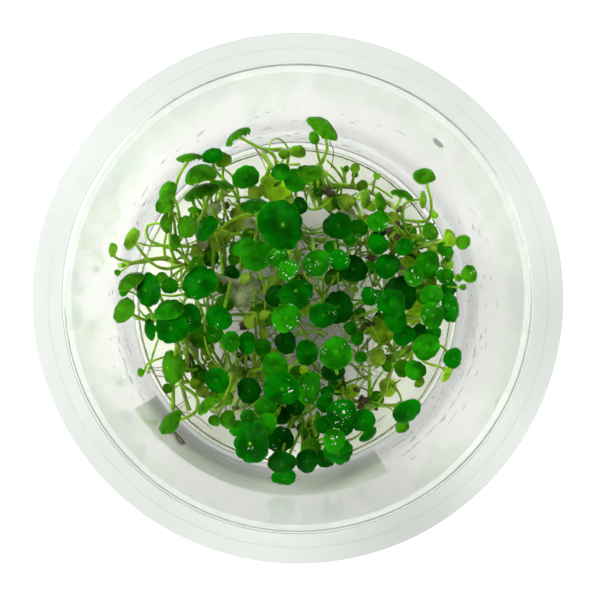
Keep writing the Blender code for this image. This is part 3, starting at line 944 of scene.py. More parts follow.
def domeBlade(blade, radius, lobes, chance, lean, ball):
    # lobes, dome, dimple and folds; gives each point's place among the lobes and share outwards
    look = leafLook
    sideOn = shareOf(lean, look["lobeLeans"])
    lobeDepth = look["flatLobes"] + (look["capLobes"] - look["flatLobes"]) * sideOn
    phase = chance.uniform(0.0, math.tau)
    skew = chance.uniform(0.0, math.tau)
    waviness = look["wave"] * chance.uniform(-1.0, 1.0)
    fold = look["fold"] * chance.random() ** 2
    uneven = [chance.uniform(*look["unevenLobes"]) for lobe in range(lobes)]
    shares = {}
    for vert in blade.verts:
        share = vert.co.xy.length / radius
        angle = math.atan2(vert.co.y, vert.co.x) % math.tau
        lobePlace = angle / math.tau * lobes
        shares[vert] = (lobePlace, share)
        swell = abs(math.sin(math.pi * lobePlace)) ** 0.7
        depth = lobeDepth * uneven[int(lobePlace + 0.5) % lobes]
        stretch = 1.0 - depth * (1.0 - swell) * share ** 4
        stretch += look["oval"] * share * (math.sin(2 * angle + phase) + 0.6 * math.sin(3 * angle + skew))
        vert.co.x *= stretch
        vert.co.y *= stretch
        sag = hangOf(ball, share)
        sag += look["dimple"] * math.exp(-(share / look["dimpleWidth"]) ** 2)
        sag -= (look["lobeLift"] + look["pleat"] * sideOn) * swell * share ** 3
        sag += waviness * share ** 2 * math.sin(3 * angle + phase)
        sag += fold * (share * math.cos(angle + phase)) ** 2
        ridge = math.exp(-((lobePlace % 1.0 - 0.5) / look["veinWidth"]) ** 2)
        sag += look["veinRidge"] * ridge * share * (1.1 - share)
        vert.co.z = -sag * radius
    return shares


def mapVeins(blade, polar, shares, lobes):
    # U counts the lobes round the blade and V goes outwards
    for face in blade.faces:
        places = [shares[loop.vert][0] for loop in face.loops]
        crosses = max(places) - min(places) > lobes / 2
        for loop in face.loops:
            lobePlace, share = shares[loop.vert]
            if crosses and lobePlace < lobes / 2:
                lobePlace += lobes
            if share < 0.001:
                known = [place + (lobes if crosses and place < lobes / 2 else 0) for place in places if place]
                lobePlace = sum(known) / max(len(known), 1)
            loop[polar].uv = (lobePlace, share)


def growBlade(shape, radius, lobes, chance, centre, normal, lean, ball, steps, rings):
    # rings inset from a disc, domed, given its thickness and put on its stalk
    blade = bmesh.new()
    disc = bmesh.ops.create_circle(blade, cap_ends=True, segments=lobes * steps, radius=radius)
    middle = disc["verts"][0].link_faces[0]
    for ring in range(rings):
        bmesh.ops.inset_region(blade, faces=[middle], thickness=radius / (rings + 1), use_boundary=True)
    bmesh.ops.poke(blade, faces=[middle])
    polar = blade.loops.layers.uv.new("bladePolar")
    mapVeins(blade, polar, domeBlade(blade, radius, lobes, chance, lean, ball), lobes)
    thick = bmesh.ops.solidify(blade, geom=list(blade.faces), thickness=leafLook["thickness"])
    for item in thick["geom"]:
        if isinstance(item, bmesh.types.BMFace):
            item.material_index = 1
    spin = Matrix.Rotation(chance.uniform(0.0, math.tau), 4, "Z")
    place = Matrix.Translation(centre) @ up.rotation_difference(normal).to_matrix().to_4x4() @ spin
    bmesh.ops.transform(blade, matrix=place, verts=blade.verts)
    bmesh.ops.recalc_face_normals(blade, faces=blade.faces)
    pour(blade, shape)


def growLeaf(shape, seed, stem, seen, height, radius, lean, facing, foot, *via, ball=None):
    ball = ball or ballOf(lean)
    centre, normal = bladeFrame(seen, height, radius, lean, facing, ball)
    lobes = next(count for limit, count in leafLook["lobeCounts"] if radius < limit)
    rings = leafLook["fewRings"] if radius < leafLook["smallBlade"] else leafLook["rings"]
    steps = leafLook["lobeSteps"]
    growBlade(shape, radius * mm, lobes, random.Random(seed), centre, normal, lean, ball, steps, rings)
    route = stalkRoute(stem, foot, via, centre, normal)
    least, gain = leafLook["stalkGrowth"]
    width = leafLook["stalkRadius"] * min(1.0, least + gain * radius)
    thick, thin = leafLook["stalkTaper"]
    growTube(shape, route, width * thick, width * thin, leafLook["stalkSides"], 2)


def leafSlot(isLight):
    return "leaf_light" if isLight else "leaf"


for number, (tone, *row) in leaves.items():
    shape = bmesh.new()
    growLeaf(shape, 99 + number, *row, ball=fullCaps.get(number))
    piece = toPiece(f"blade_{number:02d}", shape, leafMaterials[tone])
    settle(piece, leafSlot(number in lightLeaves), f"leaf_{number:02d}")
print("large leaves grown:", len(leaves))

smallLeaves = 0
for stem, rowsByTone in tufts.items():
    for tone in leafTones:
        rows = rowsByTone.get(tone, ())
        if rows:
            shape = bmesh.new()
            for index, row in enumerate(rows):
                growLeaf(shape, 300 + 17 * index + 31 * stem, stem, *row)
            piece = toPiece(f"tuft_{stem:02d}_{tone}", shape, leafMaterials[tone])
            settle(piece, leafSlot(tone in lightTones))
            smallLeaves += len(rows)
print("small leaves grown:", smallLeaves)

# undergrowth: stalks of hidden leaves and roots. radius, height of the tip, readings from foot to tip
stemTwist = {"foot": 13.4, "sides": 8, "steps": 4, "taper": 0.6, "lift": 1.5}
undergrowth = {
    "green": (
        (0.26, 20, (179, 223), (176, 216), (172, 211)), (0.26, 20, (185, 221), (179, 216), (174, 212)),
        (0.5, 22, (200, 219), (195, 206), (190, 197)), (0.34, 22, (207, 213), (202, 206), (197, 198)),
        (0.42, 24, (214, 211), (212, 202), (208, 188)), (0.3, 22, (214, 211), (216, 203), (217, 191)),
        (0.35, 26, (229, 222), (225, 210), (223, 199), (222, 188)),
        (0.34, 26, (239, 202), (238, 193), (235, 182), (231, 175), (224, 169)),
        (0.45, 22, (213, 229), (221, 229), (229, 223), (240, 217), (252, 214), (264, 217)),
        (0.42, 20, (262, 231), (254, 233), (240, 235), (226, 232), (213, 229)),
        (0.38, 22, (224, 280), (222, 262), (219, 245), (214, 231)),
        (0.34, 24, (166, 258), (165, 246), (167, 234), (169, 219), (171, 204), (172, 190)),
        (0.34, 18, (166, 256), (171, 262), (179, 267), (187, 268)),
        (0.34, 20, (199, 247), (190, 247), (178, 245), (165, 246), (150, 246), (139, 243)),
        (0.28, 15, (188, 268), (180, 266), (174, 269), (166, 269), (159, 267)),
        (0.28, 18, (187, 270), (186, 262), (184, 253), (181, 246)),
        (0.32, 20, (186, 266), (187, 256), (189, 247), (186, 238)),
        (0.34, 18, (183, 288), (182, 279), (182, 269)),
        (0.3, 22, (240, 272), (241, 262), (241, 253), (240, 245)),
        (0.34, 24, (265, 290), (262, 279), (259, 266), (253, 257), (248, 250)),
        (0.28, 20, (265, 290), (268, 283), (270, 274)),
        (0.34, 26, (322, 297), (316, 290), (309, 282), (304, 273)),
        (0.38, 24, (322, 296), (323, 287), (323, 277)), (0.34, 26, (324, 295), (331, 284), (338, 273)),
        (0.26, 24, (321, 295), (318, 285), (317, 275)), (0.28, 22, (338, 289), (338, 276)),
        (0.42, 26, (296, 263), (295, 253), (296, 244)), (0.26, 22, (291, 263), (294, 255), (297, 248)),
        (0.26, 22, (303, 270), (301, 259), (297, 250)),
        (0.38, 30, (414, 254), (405, 236), (396, 227), (389, 219), (386, 213)),
        (0.38, 30, (418, 262), (412, 245), (407, 237), (415, 239), (428, 238), (434, 232)),
        (0.26, 32, (424, 245), (432, 241), (441, 240), (450, 241)),
        (0.34, 26, (421, 238), (420, 230), (417, 222)),
        (0.36, 28, (320, 210), (317, 168), (320, 166), (324, 160), (326, 152), (327, 145), (327, 138)),
        (0.34, 18, (317, 168), (325, 172), (332, 178), (338, 184)),
        (0.28, 17, (327, 172), (327, 179), (332, 184), (338, 185)),
        (0.3, 16, (300, 165), (293, 165), (286, 165)),
        (0.28, 24, (287, 167), (289, 158), (288, 149), (283, 142), (277, 139), (271, 142), (269, 150)),
        (0.36, 20, (281, 149), (273, 150), (265, 149), (254, 147)),
        (0.28, 18, (270, 151), (274, 158), (279, 163)),
        (0.3, 20, (392, 198), (385, 193), (377, 188), (367, 184), (352, 185), (338, 184)),
        (0.36, 26, (340, 186), (337, 192), (331, 199), (322, 207), (312, 210), (306, 205), (307, 196),
         (312, 183)),
        (0.3, 18, (339, 199), (341, 192), (341, 186)), (0.26, 20, (352, 214), (349, 212), (347, 206)),
        (0.36, 24, (149, 372), (152, 362), (155, 351), (160, 337)),
        (0.3, 20, (155, 319), (147, 319), (137, 319)), (0.3, 20, (153, 319), (146, 316), (139, 308)),
        (0.4, 30, (190, 293), (186, 299), (183, 306), (179, 313)),
        (0.34, 17, (189, 293), (181, 295), (170, 296), (158, 294)),
        (0.4, 17, (191, 297), (186, 290), (181, 288), (175, 287)), (0.34, 20, (197, 306), (196, 297)),
        (0.34, 22, (211, 310), (213, 303), (215, 295)),
        (0.52, 28, (174, 409), (174, 396), (174, 384), (175, 368), (176, 357), (177, 345)),
        (0.38, 22, (208, 350), (206, 362), (200, 368), (191, 369), (184, 365), (180, 357), (178, 345)),
        (0.34, 20, (202, 368), (196, 357), (189, 345)),
        (0.36, 22, (220, 368), (213, 358), (208, 349), (205, 337)),
        (0.6, 18, (255, 379), (255, 366), (254, 352)),
        (0.6, 18, (234, 408), (232, 396), (233, 383), (231, 368)),
        (0.34, 16, (232, 384), (238, 376), (246, 371), (258, 368)),
        (0.3, 18, (230, 370), (235, 363), (243, 357), (250, 354)),
        (0.3, 18, (231, 371), (230, 362), (229, 352)), (0.44, 26, (394, 353), (394, 343), (393, 330)),
        (0.38, 24, (372, 361), (377, 355), (379, 345), (377, 335), (371, 326)),
        (0.32, 24, (392, 357), (386, 361), (376, 364), (366, 366), (356, 366)),
        (0.3, 18, (398, 352), (405, 348), (414, 343)), (0.5, 24, (369, 398), (369, 384), (369, 369)),
        (0.34, 24, (370, 397), (371, 390), (376, 380), (383, 370)),
        (0.34, 20, (371, 398), (378, 394), (385, 391), (387, 384), (388, 376)),
        (0.3, 20, (370, 410), (376, 404), (381, 397), (386, 390)),
        (0.34, 32, (388, 382), (394, 387), (399, 394), (402, 405)),
        (0.28, 32, (366, 400), (375, 402), (385, 405), (394, 411)),
        (0.28, 20, (387, 389), (393, 384), (400, 379)), (0.3, 24, (343, 438), (346, 433), (351, 427)),
        (0.32, 26, (345, 440), (354, 437), (363, 430)), (0.28, 16, (175, 387), (181, 384), (189, 382)),
        (0.3, 18, (190, 382), (186, 376), (183, 369)),
        (0.28, 30, (412, 350), (423, 361), (434, 365), (446, 368)),
        (0.26, 18, (236, 412), (241, 406), (246, 401)), (0.55, 22, (315, 434), (312, 423), (310, 411)),
        (0.3, 16, (303, 430), (302, 440), (301, 450)),
        (0.5, 18, (256, 198), (261, 187), (266, 177), (269, 167)),
        (0.4, 24, (228, 184), (222, 178), (217, 172), (215, 166)),
        (0.34, 18, (345, 184), (340, 176), (334, 168), (327, 161)),
        (0.4, 17, (345, 185), (344, 175), (341, 167)), (0.55, 20, (352, 199), (357, 208), (361, 217)),
        (0.5, 18, (311, 193), (313, 200), (316, 209)), (0.5, 20, (203, 316), (201, 307), (197, 299)),
        (0.45, 18, (224, 247), (231, 238), (240, 232)),
    ),
    "shade": (
        (0.3, 24, (209, 187), (215, 192), (223, 195), (233, 197), (244, 198), (257, 199)),
        (0.46, 18, (225, 229), (219, 221), (214, 211)), (0.46, 20, (213, 272), (214, 258), (214, 244)),
        (0.5, 20, (225, 268), (225, 250), (222, 236)),
        (0.26, 16, (243, 233), (250, 230), (255, 225), (256, 217)),
        (0.34, 18, (267, 296), (273, 288), (281, 278)), (0.2, 20, (312, 233), (308, 229), (303, 224)),
        (0.4, 24, (302, 233), (312, 234), (326, 232)), (0.25, 20, (311, 251), (307, 243), (301, 235)),
        (0.38, 16, (334, 216), (322, 205), (312, 195)), (0.34, 17, (363, 200), (350, 199), (336, 198)),
        (0.38, 22, (362, 221), (352, 214), (344, 208), (336, 198)),
        (0.32, 18, (354, 256), (361, 246), (368, 236)), (0.24, 18, (358, 254), (366, 252), (376, 252)),
        (0.22, 18, (356, 258), (366, 255), (376, 255)), (0.3, 17, (389, 254), (395, 250), (401, 245)),
        (0.45, 17, (392, 254), (392, 246), (390, 238)), (0.26, 20, (374, 285), (374, 270)),
        (0.28, 20, (373, 286), (370, 278), (368, 269)), (0.28, 20, (375, 286), (379, 280), (382, 272)),
        (0.46, 30, (417, 264), (411, 240), (405, 230), (401, 213)),
        (0.3, 28, (437, 249), (433, 242), (426, 242)), (0.28, 20, (206, 306), (204, 297)),
        (0.5, 22, (209, 360), (207, 342), (206, 326), (208, 309), (208, 297)),
        (0.38, 20, (210, 374), (203, 366), (197, 357), (190, 346)),
        (0.3, 18, (190, 370), (189, 356), (187, 342)), (0.42, 22, (224, 367), (217, 356), (210, 345)),
        (0.34, 18, (252, 313), (243, 315), (232, 315)), (0.32, 17, (272, 303), (262, 301), (254, 295)),
        (0.3, 17, (272, 303), (262, 303), (251, 302)),
        (0.34, 17, (273, 305), (262, 309), (255, 313), (246, 314), (239, 310)),
        (0.42, 18, (262, 337), (260, 325), (258, 313)), (0.36, 20, (257, 346), (256, 330), (255, 317)),
        (0.24, 17, (262, 338), (269, 336), (275, 332)),
        (0.46, 17, (292, 337), (302, 333), (315, 331), (327, 334)), (0.26, 18, (351, 300), (364, 300)),
        (0.34, 20, (349, 317), (356, 310), (365, 303)), (0.26, 17, (388, 331), (380, 327), (373, 317)),
        (0.26, 16, (373, 360), (368, 352), (363, 343)),
        (0.38, 20, (406, 365), (398, 358), (391, 352), (385, 348)),
        (0.36, 20, (376, 360), (388, 355), (400, 350), (412, 344)),
        (0.38, 17, (387, 366), (392, 358), (394, 352)), (0.24, 16, (321, 370), (318, 362)),
        (0.44, 26, (342, 384), (342, 398)), (0.34, 20, (345, 383), (355, 379), (368, 375)),
        (0.45, 18, (388, 385), (388, 375)), (0.26, 16, (303, 429), (299, 421), (295, 412)),
        (0.26, 16, (306, 428), (304, 420), (300, 410)), (0.3, 16, (302, 431), (294, 425), (287, 418)),
        (0.28, 16, (303, 430), (308, 435), (313, 440)), (0.24, 16, (308, 428), (309, 420), (311, 412)),
        (0.32, 17, (204, 387), (198, 382), (193, 375), (193, 369)),
    ),
    "root": (
        (0.16, 14, (182, 411), (192, 413), (200, 417), (206, 422), (213, 428)),
        (0.13, 16, (176, 406), (183, 402), (187, 398), (192, 396)),
        (0.11, 15, (180, 408), (184, 405), (188, 403)), (0.12, 20, (176, 367), (163, 367), (150, 368)),
        (0.1, 20, (174, 369), (162, 370), (152, 369)), (0.13, 16, (166, 376), (158, 375), (151, 370)),
        (0.2, 16, (255, 148), (260, 156), (264, 165), (268, 173)),
        (0.13, 18, (404, 209), (411, 205), (423, 202)),
        (0.13, 18, (405, 226), (411, 224), (412, 228), (409, 232)),
        (0.13, 20, (341, 181), (345, 175), (350, 169)), (0.13, 20, (371, 185), (374, 180), (378, 176)),
        (0.16, 15, (331, 169), (333, 158), (333, 150), (329, 141)),
        (0.14, 15, (300, 240), (305, 247), (310, 251)), (0.12, 16, (312, 227), (308, 229)),
        (0.14, 16, (312, 241), (307, 238), (303, 235)), (0.16, 15, (232, 321), (245, 321), (262, 322)),
        (0.16, 15, (262, 329), (276, 329)), (0.13, 17, (190, 350), (197, 359), (204, 368)),
        (0.18, 16, (365, 361), (370, 355), (376, 349)), (0.14, 22, (357, 335), (361, 330), (367, 327)),
        (0.12, 20, (344, 335), (349, 331)), (0.16, 17, (357, 411), (360, 402), (358, 394)),
        (0.16, 17, (362, 409), (364, 402), (363, 394)), (0.16, 16, (368, 408), (370, 402), (364, 399)),
        (0.16, 16, (372, 408), (375, 404), (366, 403)), (0.16, 15, (236, 372), (247, 366), (259, 363)),
        (0.16, 15, (237, 377), (248, 370), (258, 366)), (0.14, 15, (232, 381), (238, 372), (243, 361)),
        (0.14, 15, (236, 411), (240, 402)), (0.14, 15, (296, 440), (301, 442), (306, 438)),
        (0.14, 15, (289, 446), (296, 450)), (0.16, 16, (187, 362), (192, 356), (196, 351)),
        (0.14, 16, (185, 364), (191, 360), (193, 367)),
    ),
}
undergrowthFinish = {
    "green": leafMaterials["fresh"][2],
    "shade": softMaterials["stemShade"],
    "root": patchedMaterial("rootThread"),
}


def growUndergrowth(rows):
    look = stemTwist
    shape = bmesh.new()
    for radius, tip, *readings in rows:
        last = len(readings) - 1
        points = [
            seenPoint(u, v, (look["foot"] + (tip - look["foot"]) * (index / last) ** look["lift"]) * mm)
            for index, (u, v) in enumerate(readings)
        ]
        route = smoothRoute(points, look["steps"])
        growTube(shape, route, radius * mm, radius * look["taper"] * mm, look["sides"])
    return shape


for kind, rows in undergrowth.items():
    settle(toPiece("undergrowth_" + kind, growUndergrowth(rows), [undergrowthFinish[kind]]), "stem")
print("undergrowth laid")

# thicket: arching stems, small leaves and root threads over the jelly, kept off the patches that show bare
thicketLook = {
    "reach": 28.5 * mm,
    "base": 12.1 * mm,
    "sink": 0.4 * mm,  # feet stand this deep in the jelly
    "pixel": 0.22 * mm,
    "bend": 0.6,
    "strides": 5,
    "heights": (0.3, 1.0),  # shares of the rise and of the length that an arch takes
    "lengths": (0.5, 1.0),
    "taper": 0.7,
    "steps": 3,
    "leafRise": (1.5, 5.0),
    "leafRadius": (1.2, 2.3),
    "leafTilt": 0.35,
    "leafLean": 10,
    "leafLobes": 6,
    "leafSteps": 3,
    "leafRings": 2,
    "stalkSlant": (0.5, 2.0),
    "stalkWidths": (0.24 * mm, 0.18 * mm),
    "stalkSides": 6,
}
thicketStems = {  # count, least and greatest thickness, rise and length in mm, sides, seed, finish
    "green": (150, 0.20, 0.34, 4.0, 10.0, 6, 21, leafMaterials["fresh"][2]),
    "dull": (150, 0.16, 0.30, 2.5, 9.0, 5, 22, softMaterials["thicketDull"]),
    "roots": (420, 0.05, 0.09, 0.9, 8.0, 4, 23, softMaterials["thicketRoot"]),
}
thicketLeaves = {"fresh": (52, 31), "olive": (26, 32), "bleached": (26, 33)}  # count, seed
barePatches = (  # reading, radius in picture points
    (312, 218, 11), (343, 243, 8), (332, 284, 6), (408, 392, 14), (345, 372, 8), (235, 323, 5),
    (217, 352, 7), (205, 400, 8), (186, 396, 9), (243, 295, 14), (355, 297, 5), (364, 308, 5),
    (392, 333, 6), (375, 388, 6),
)


def showsBare(place):
    for u, v, width in barePatches:
        if (place.xy - seenPoint(u, v, place.z).xy).length < width * thicketLook["pixel"]:
            return True
    return place.xy.length > thicketLook["reach"]


def somewhere(chance):
    way = Vector((chance.gauss(0, 1), chance.gauss(0, 1), 0)).normalized()
    return way * thicketLook["reach"] * math.sqrt(chance.random()) + up * thicketLook["base"]


def growArches(count, thin, thick, rise, length, sides, seed):
    look, strides = thicketLook, thicketLook["strides"]
    shape = bmesh.new()
    chance = random.Random(seed)
    while count:
        heading, bend = chance.uniform(0, math.tau), chance.uniform(-look["bend"], look["bend"])
        height = rise * mm * chance.uniform(*look["heights"])
        stride = length * mm * chance.uniform(*look["lengths"]) / strides
        points = [somewhere(chance)]
        for step in range(strides):
            heading += bend
            points.append(points[-1] + Vector((math.cos(heading), math.sin(heading), 0)) * stride)
        for index, point in enumerate(points):
            point.z += height * math.sin(math.pi * index / strides) - look["sink"]
        if any(showsBare(point) for point in points):
            continue
        width = chance.uniform(thin, thick) * mm
        growTube(shape, smoothRoute(points, look["steps"]), width, width * look["taper"], sides)
        count -= 1
    return shape


def growLowLeaves(count, seed):
    look = thicketLook
    lobes, steps, rings = look["leafLobes"], look["leafSteps"], look["leafRings"]
    shape = bmesh.new()
    chance = random.Random(seed)
    while count:
        place = somewhere(chance)
        if showsBare(place):
            continue
        place.z += chance.uniform(*look["leafRise"]) * mm
        way = Vector((chance.gauss(0, look["leafTilt"]), chance.gauss(0, look["leafTilt"]), 1.0)).normalized()
        radius = chance.uniform(*look["leafRadius"]) * mm
        ball = leafLook["flatBall"]
        growBlade(shape, radius, lobes, chance, place, way, look["leafLean"], ball, steps, rings)
        foot = place - way * chance.uniform(*look["stalkSlant"]) * mm
        foot.z = look["base"] - look["sink"]
        route = smoothRoute([foot, place - way * mm, place], look["steps"])
        growTube(shape, route, *look["stalkWidths"], look["stalkSides"], 2)
        count -= 1
    return shape


for kind, (*look, finish) in thicketStems.items():
    settle(toPiece("thicket_" + kind, growArches(*look), [finish]), "stem")
for tone, look in thicketLeaves.items():
    piece = toPiece("thicket_" + tone, growLowLeaves(*look), leafMaterials[tone])
    settle(piece, leafSlot(tone in lightTones))
print("thicket grown")

# dead bits at the nodes and on the jelly: reading, height, half width
deadBits = (
    (326, 191, 16, 1.1), (331, 194, 16, 0.9), (399, 209, 19, 0.9), (397, 224, 18, 0.8),
    (388, 231, 18, 0.9), (397, 237, 18, 0.8), (371, 258, 16, 1.1), (245, 358, 15, 1.2),
    (241, 355, 15, 0.9), (356, 389, 15, 0.8), (375, 408, 14, 0.5), (363, 399, 16, 1.0),
    (361, 405, 16, 0.8), (206, 247, 15, 0.9), (227, 206, 15, 0.8), (244, 326, 14, 1.0),
    (314, 247, 14, 0.7), (292, 425, 15, 0.7), (236, 407, 15, 0.7), (321, 426, 16, 0.8),
    (371, 324, 16, 0.7), (191, 356, 14, 1.0), (341, 378, 16, 0.8), (303, 306, 17, 0.6),
)
deadLook = {"shape": (1.0, 0.8, 0.6, 1.0), "lumpScale": 1500.0, "lumps": 0.6}


def growDeadBits():
    look = deadLook
    shape = bmesh.new()
    for u, v, height, width in deadBits:
        place = Matrix.Translation(seenPoint(u, v, height * mm)) @ Matrix.Diagonal(look["shape"])
        made = bmesh.ops.create_icosphere(shape, subdivisions=3, radius=width * mm, matrix=place)
        for vert in made["verts"]:
            vert.co += vert.normal * noise.noise(vert.co * look["lumpScale"]) * width * look["lumps"] * mm
    return toPiece("dead_bits", shape, [softMaterials["deadBrown"]])


settle(growDeadBits(), "stem")


# drops on the leaves and dried splashes on the wall, set where the line of sight meets them
def onSight(u, v):
    # the surface that is seen at the reading, and the way out of it
    toward = (seenPoint(u, v, 0.0) - sight["eye"]).normalized()
    found, place, normal, *rest = bpy.context.scene.ray_cast(
        bpy.context.evaluated_depsgraph_get(), sight["eye"], toward
    )
    return place, normal if normal.dot(toward) < 0 else -normal


def onWall(u, v):
    # where the line of sight comes through the inner face of the wall
    high, low = cupTop, cupLook["floorTop"]
    for halving in range(30):
        middle = (high + low) / 2
        if seenPoint(u, v, middle).xy.length > wallRadius(middle):
            low = middle
        else:
            high = middle
    place = seenPoint(u, v, low)
    return place, Vector((-place.x, -place.y, 0.0)).normalized()


drops = (  # reading, radius in mm
    (273, 256, 0.35), (278, 254, 0.4), (283, 254, 0.3), (273, 259, 0.35), (267, 261, 0.3), (287, 262, 0.3),
    (290, 263, 0.32), (294, 265, 0.35), (281, 268, 0.3), (285, 274, 0.45), (296, 272, 0.35),
    (288, 277, 0.32), (292, 277, 0.4), (295, 276, 0.3), (309, 261, 0.35), (310, 265, 0.35),
    (308, 269, 0.4), (316, 263, 0.35), (317, 266, 0.3), (329, 269, 0.4), (330, 258, 0.35),
    (330, 263, 0.35), (341, 253, 0.35), (346, 257, 0.38), (347, 263, 0.35), (379, 231, 0.45),
    (386, 225, 0.35), (384, 229, 0.25), (358, 235, 0.4), (334, 213, 0.35), (413, 272, 0.75),
    (416, 277, 0.45), (410, 280, 0.35), (413, 284, 0.4), (437, 273, 0.4), (447, 282, 0.35),
    (443, 266, 0.35), (372, 290, 0.32), (373, 294, 0.4), (376, 296, 0.3), (383, 295, 0.25),
    (376, 306, 0.35), (382, 313, 0.35), (330, 312, 0.35), (334, 313, 0.45), (309, 298, 0.45),
    (290, 303, 0.4), (307, 283, 0.35), (297, 319, 0.35), (299, 322, 0.3), (276, 325, 0.35),
    (289, 327, 0.55), (293, 328, 0.35), (322, 348, 0.45), (323, 353, 0.45), (326, 350, 0.3),
    (343, 346, 0.45), (289, 386, 0.35), (290, 389, 0.55), (285, 394, 0.35), (305, 386, 0.55),
    (308, 389, 0.35), (289, 379, 0.3), (306, 398, 0.35), (317, 397, 0.3), (330, 394, 0.35),
    (333, 413, 0.4), (336, 413, 0.35), (341, 405, 0.45), (345, 404, 0.35), (344, 411, 0.6),
    (347, 416, 0.45), (341, 417, 0.35), (337, 403, 0.3), (336, 421, 0.55), (342, 422, 0.4),
    (349, 411, 0.35), (332, 436, 0.45), (335, 437, 0.5), (334, 442, 0.45), (248, 448, 0.45),
    (252, 447, 0.45), (275, 446, 0.4), (283, 428, 0.45), (191, 322, 0.35), (217, 324, 0.32),
    (217, 328, 0.3), (215, 335, 0.32), (194, 296, 0.32), (472, 272, 0.35), (438, 307, 0.45),
    (426, 310, 0.35), (424, 317, 0.3), (446, 306, 0.35), (454, 307, 0.3), (252, 405, 0.4),
)
dewLook = {
    "beads": 3,
    "size": 0.25,
    "spread": 2.0,  # picture points
    "widths": (0.4, 1.2),
    "lengths": (1.0, 2.2),
    "height": 0.6,
}
splashes = (  # reading, half length and half width in mm, turn in degrees
    (158, 188, 0.6, 0.12, 60), (144, 195, 0.6, 0.12, 60), (135, 204, 0.3, 0.14, 0),
    (145, 205, 0.55, 0.12, 50), (139, 224, 0.3, 0.12, 0), (144, 226, 0.3, 0.12, 0),
    (235, 148, 0.6, 0.12, 20), (268, 129, 1.4, 0.1, 12), (259, 138, 0.8, 0.12, 8),
    (302, 139, 0.8, 0.12, 0), (345, 146, 0.8, 0.12, 160), (357, 151, 0.6, 0.12, 155),
    (363, 156, 0.6, 0.12, 150), (382, 156, 0.35, 0.14, 140), (497, 400, 1.2, 0.1, 70),
    (437, 206, 0.5, 0.1, 130), (444, 217, 0.6, 0.1, 120), (459, 222, 0.6, 0.1, 115),
    (473, 329, 0.7, 0.12, 95), (473, 336, 0.6, 0.12, 95), (465, 336, 0.5, 0.12, 90),
    (474, 349, 0.7, 0.12, 85), (466, 345, 0.5, 0.12, 85), (462, 317, 0.4, 0.12, 90),
    (401, 133, 1.3, 0.1, 135), (438, 143, 1.1, 2.6, 142), (380, 417, 1.3, 0.12, 40),
    (378, 425, 0.35, 0.16, 90), (401, 441, 1.5, 0.12, 35), (412, 439, 0.9, 0.12, 40),
    (405, 452, 1.6, 0.14, 42), (415, 444, 1.1, 0.12, 38), (430, 430, 1.3, 0.14, 48),
    (442, 418, 1.2, 0.14, 52), (452, 404, 1.2, 0.12, 58), (460, 390, 1.1, 0.12, 65),
    (350, 467, 0.8, 0.16, 12), (468, 371, 0.9, 0.12, 75), (455, 412, 0.7, 0.12, 55),
    (131, 350, 1.0, 0.12, 105), (126, 362, 1.1, 0.12, 110), (132, 380, 1.2, 0.12, 118),
    (120, 340, 0.8, 0.12, 100), (142, 395, 1.2, 0.14, 125),
)
# number of small marks, first and last bearing in degrees, nearest and furthest in picture points
splashBands = (
    (70, -58, 30, 166, 198), (26, 62, 108, 160, 190), (26, 108, 160, 166, 192), (22, 176, 214, 172, 196),
)
splashLook = {"lengths": (0.12, 0.8), "widths": (0.06, 0.12), "turn": 25, "stretch": 1.2, "height": 0.16}


def growDrops():
    # every reading is a few uneven beads, part clear and part white as painted glints
    look, spread = dewLook, dewLook["spread"]
    shape = bmesh.new()
    chance = random.Random(5)
    bpy.context.view_layer.update()
    for u, v, radius in drops:
        for bead in range(look["beads"]):
            place, normal = onSight(u + chance.uniform(-spread, spread), v + chance.uniform(-spread, spread))
            width = radius * look["size"] * chance.uniform(*look["widths"])
            turned = up.rotation_difference(normal).to_matrix().to_4x4()
            turned = Matrix.Translation(place) @ turned @ Matrix.Rotation(chance.uniform(0, math.pi), 4, "Z")
            length = width * chance.uniform(*look["lengths"])
            turned = turned @ Matrix.Diagonal((length, width, width * look["height"], 1.0))
            bmesh.ops.create_icosphere(shape, subdivisions=2, radius=mm, matrix=turned)
    return toPiece("dew", shape, [clearMaterial("dewPaintedGlint")[0]], smoothAngle=180.0)


def scatterSplashes():
    chance = random.Random(11)
    marks = list(splashes)
    for count, first, last, near, far in splashBands:
        for mark in range(count):
            bearing = chance.uniform(first, last)
            reach = chance.uniform(near, far)
            u = sight["centre"][0] + reach * math.cos(math.radians(bearing))
            v = sight["centre"][1] - reach * math.sin(math.radians(bearing))
            length = chance.uniform(*splashLook["lengths"])
            width = chance.uniform(*splashLook["widths"])
            turned = bearing + 90 + chance.uniform(-splashLook["turn"], splashLook["turn"])
            marks.append((u, v, length, width, turned))
    return marks


def growSplashes():
    shape = bmesh.new()
    for u, v, length, width, turned in scatterSplashes():
        place, normal = onWall(u, v)
        turned = math.radians(turned)
        along = seenPoint(u + math.cos(turned), v - math.sin(turned), place.z) - place
        along = (along - normal * along.dot(normal)).normalized()
        frameOf = Matrix((along, normal.cross(along), normal)).transposed().to_4x4()
        size = Matrix.Diagonal((length * splashLook["stretch"], width, splashLook["height"], 1.0))
        bead = Matrix.Translation(place) @ frameOf @ size
        bmesh.ops.create_icosphere(shape, subdivisions=2, radius=mm, matrix=bead)
    return toPiece("splashes", shape, [clearMaterial("splashClear")[0]], smoothAngle=180.0)


dew, dried = growDrops(), growSplashes()
settle(dew, "jelly")
settle(dried, "clear_plastic")
letLightThrough(dew, dried)

# a root stuck to the wall: radius in mm, readings
stuckRoot = (
    (0.19, (170, 430), (174, 432), (177, 434), (181, 438), (185, 443)),
    (0.16, (177, 434), (178, 438), (181, 442), (184, 443)),
)
stuckLook = {"clear": 0.05, "steps": 5, "taper": 0.8, "sides": 8}


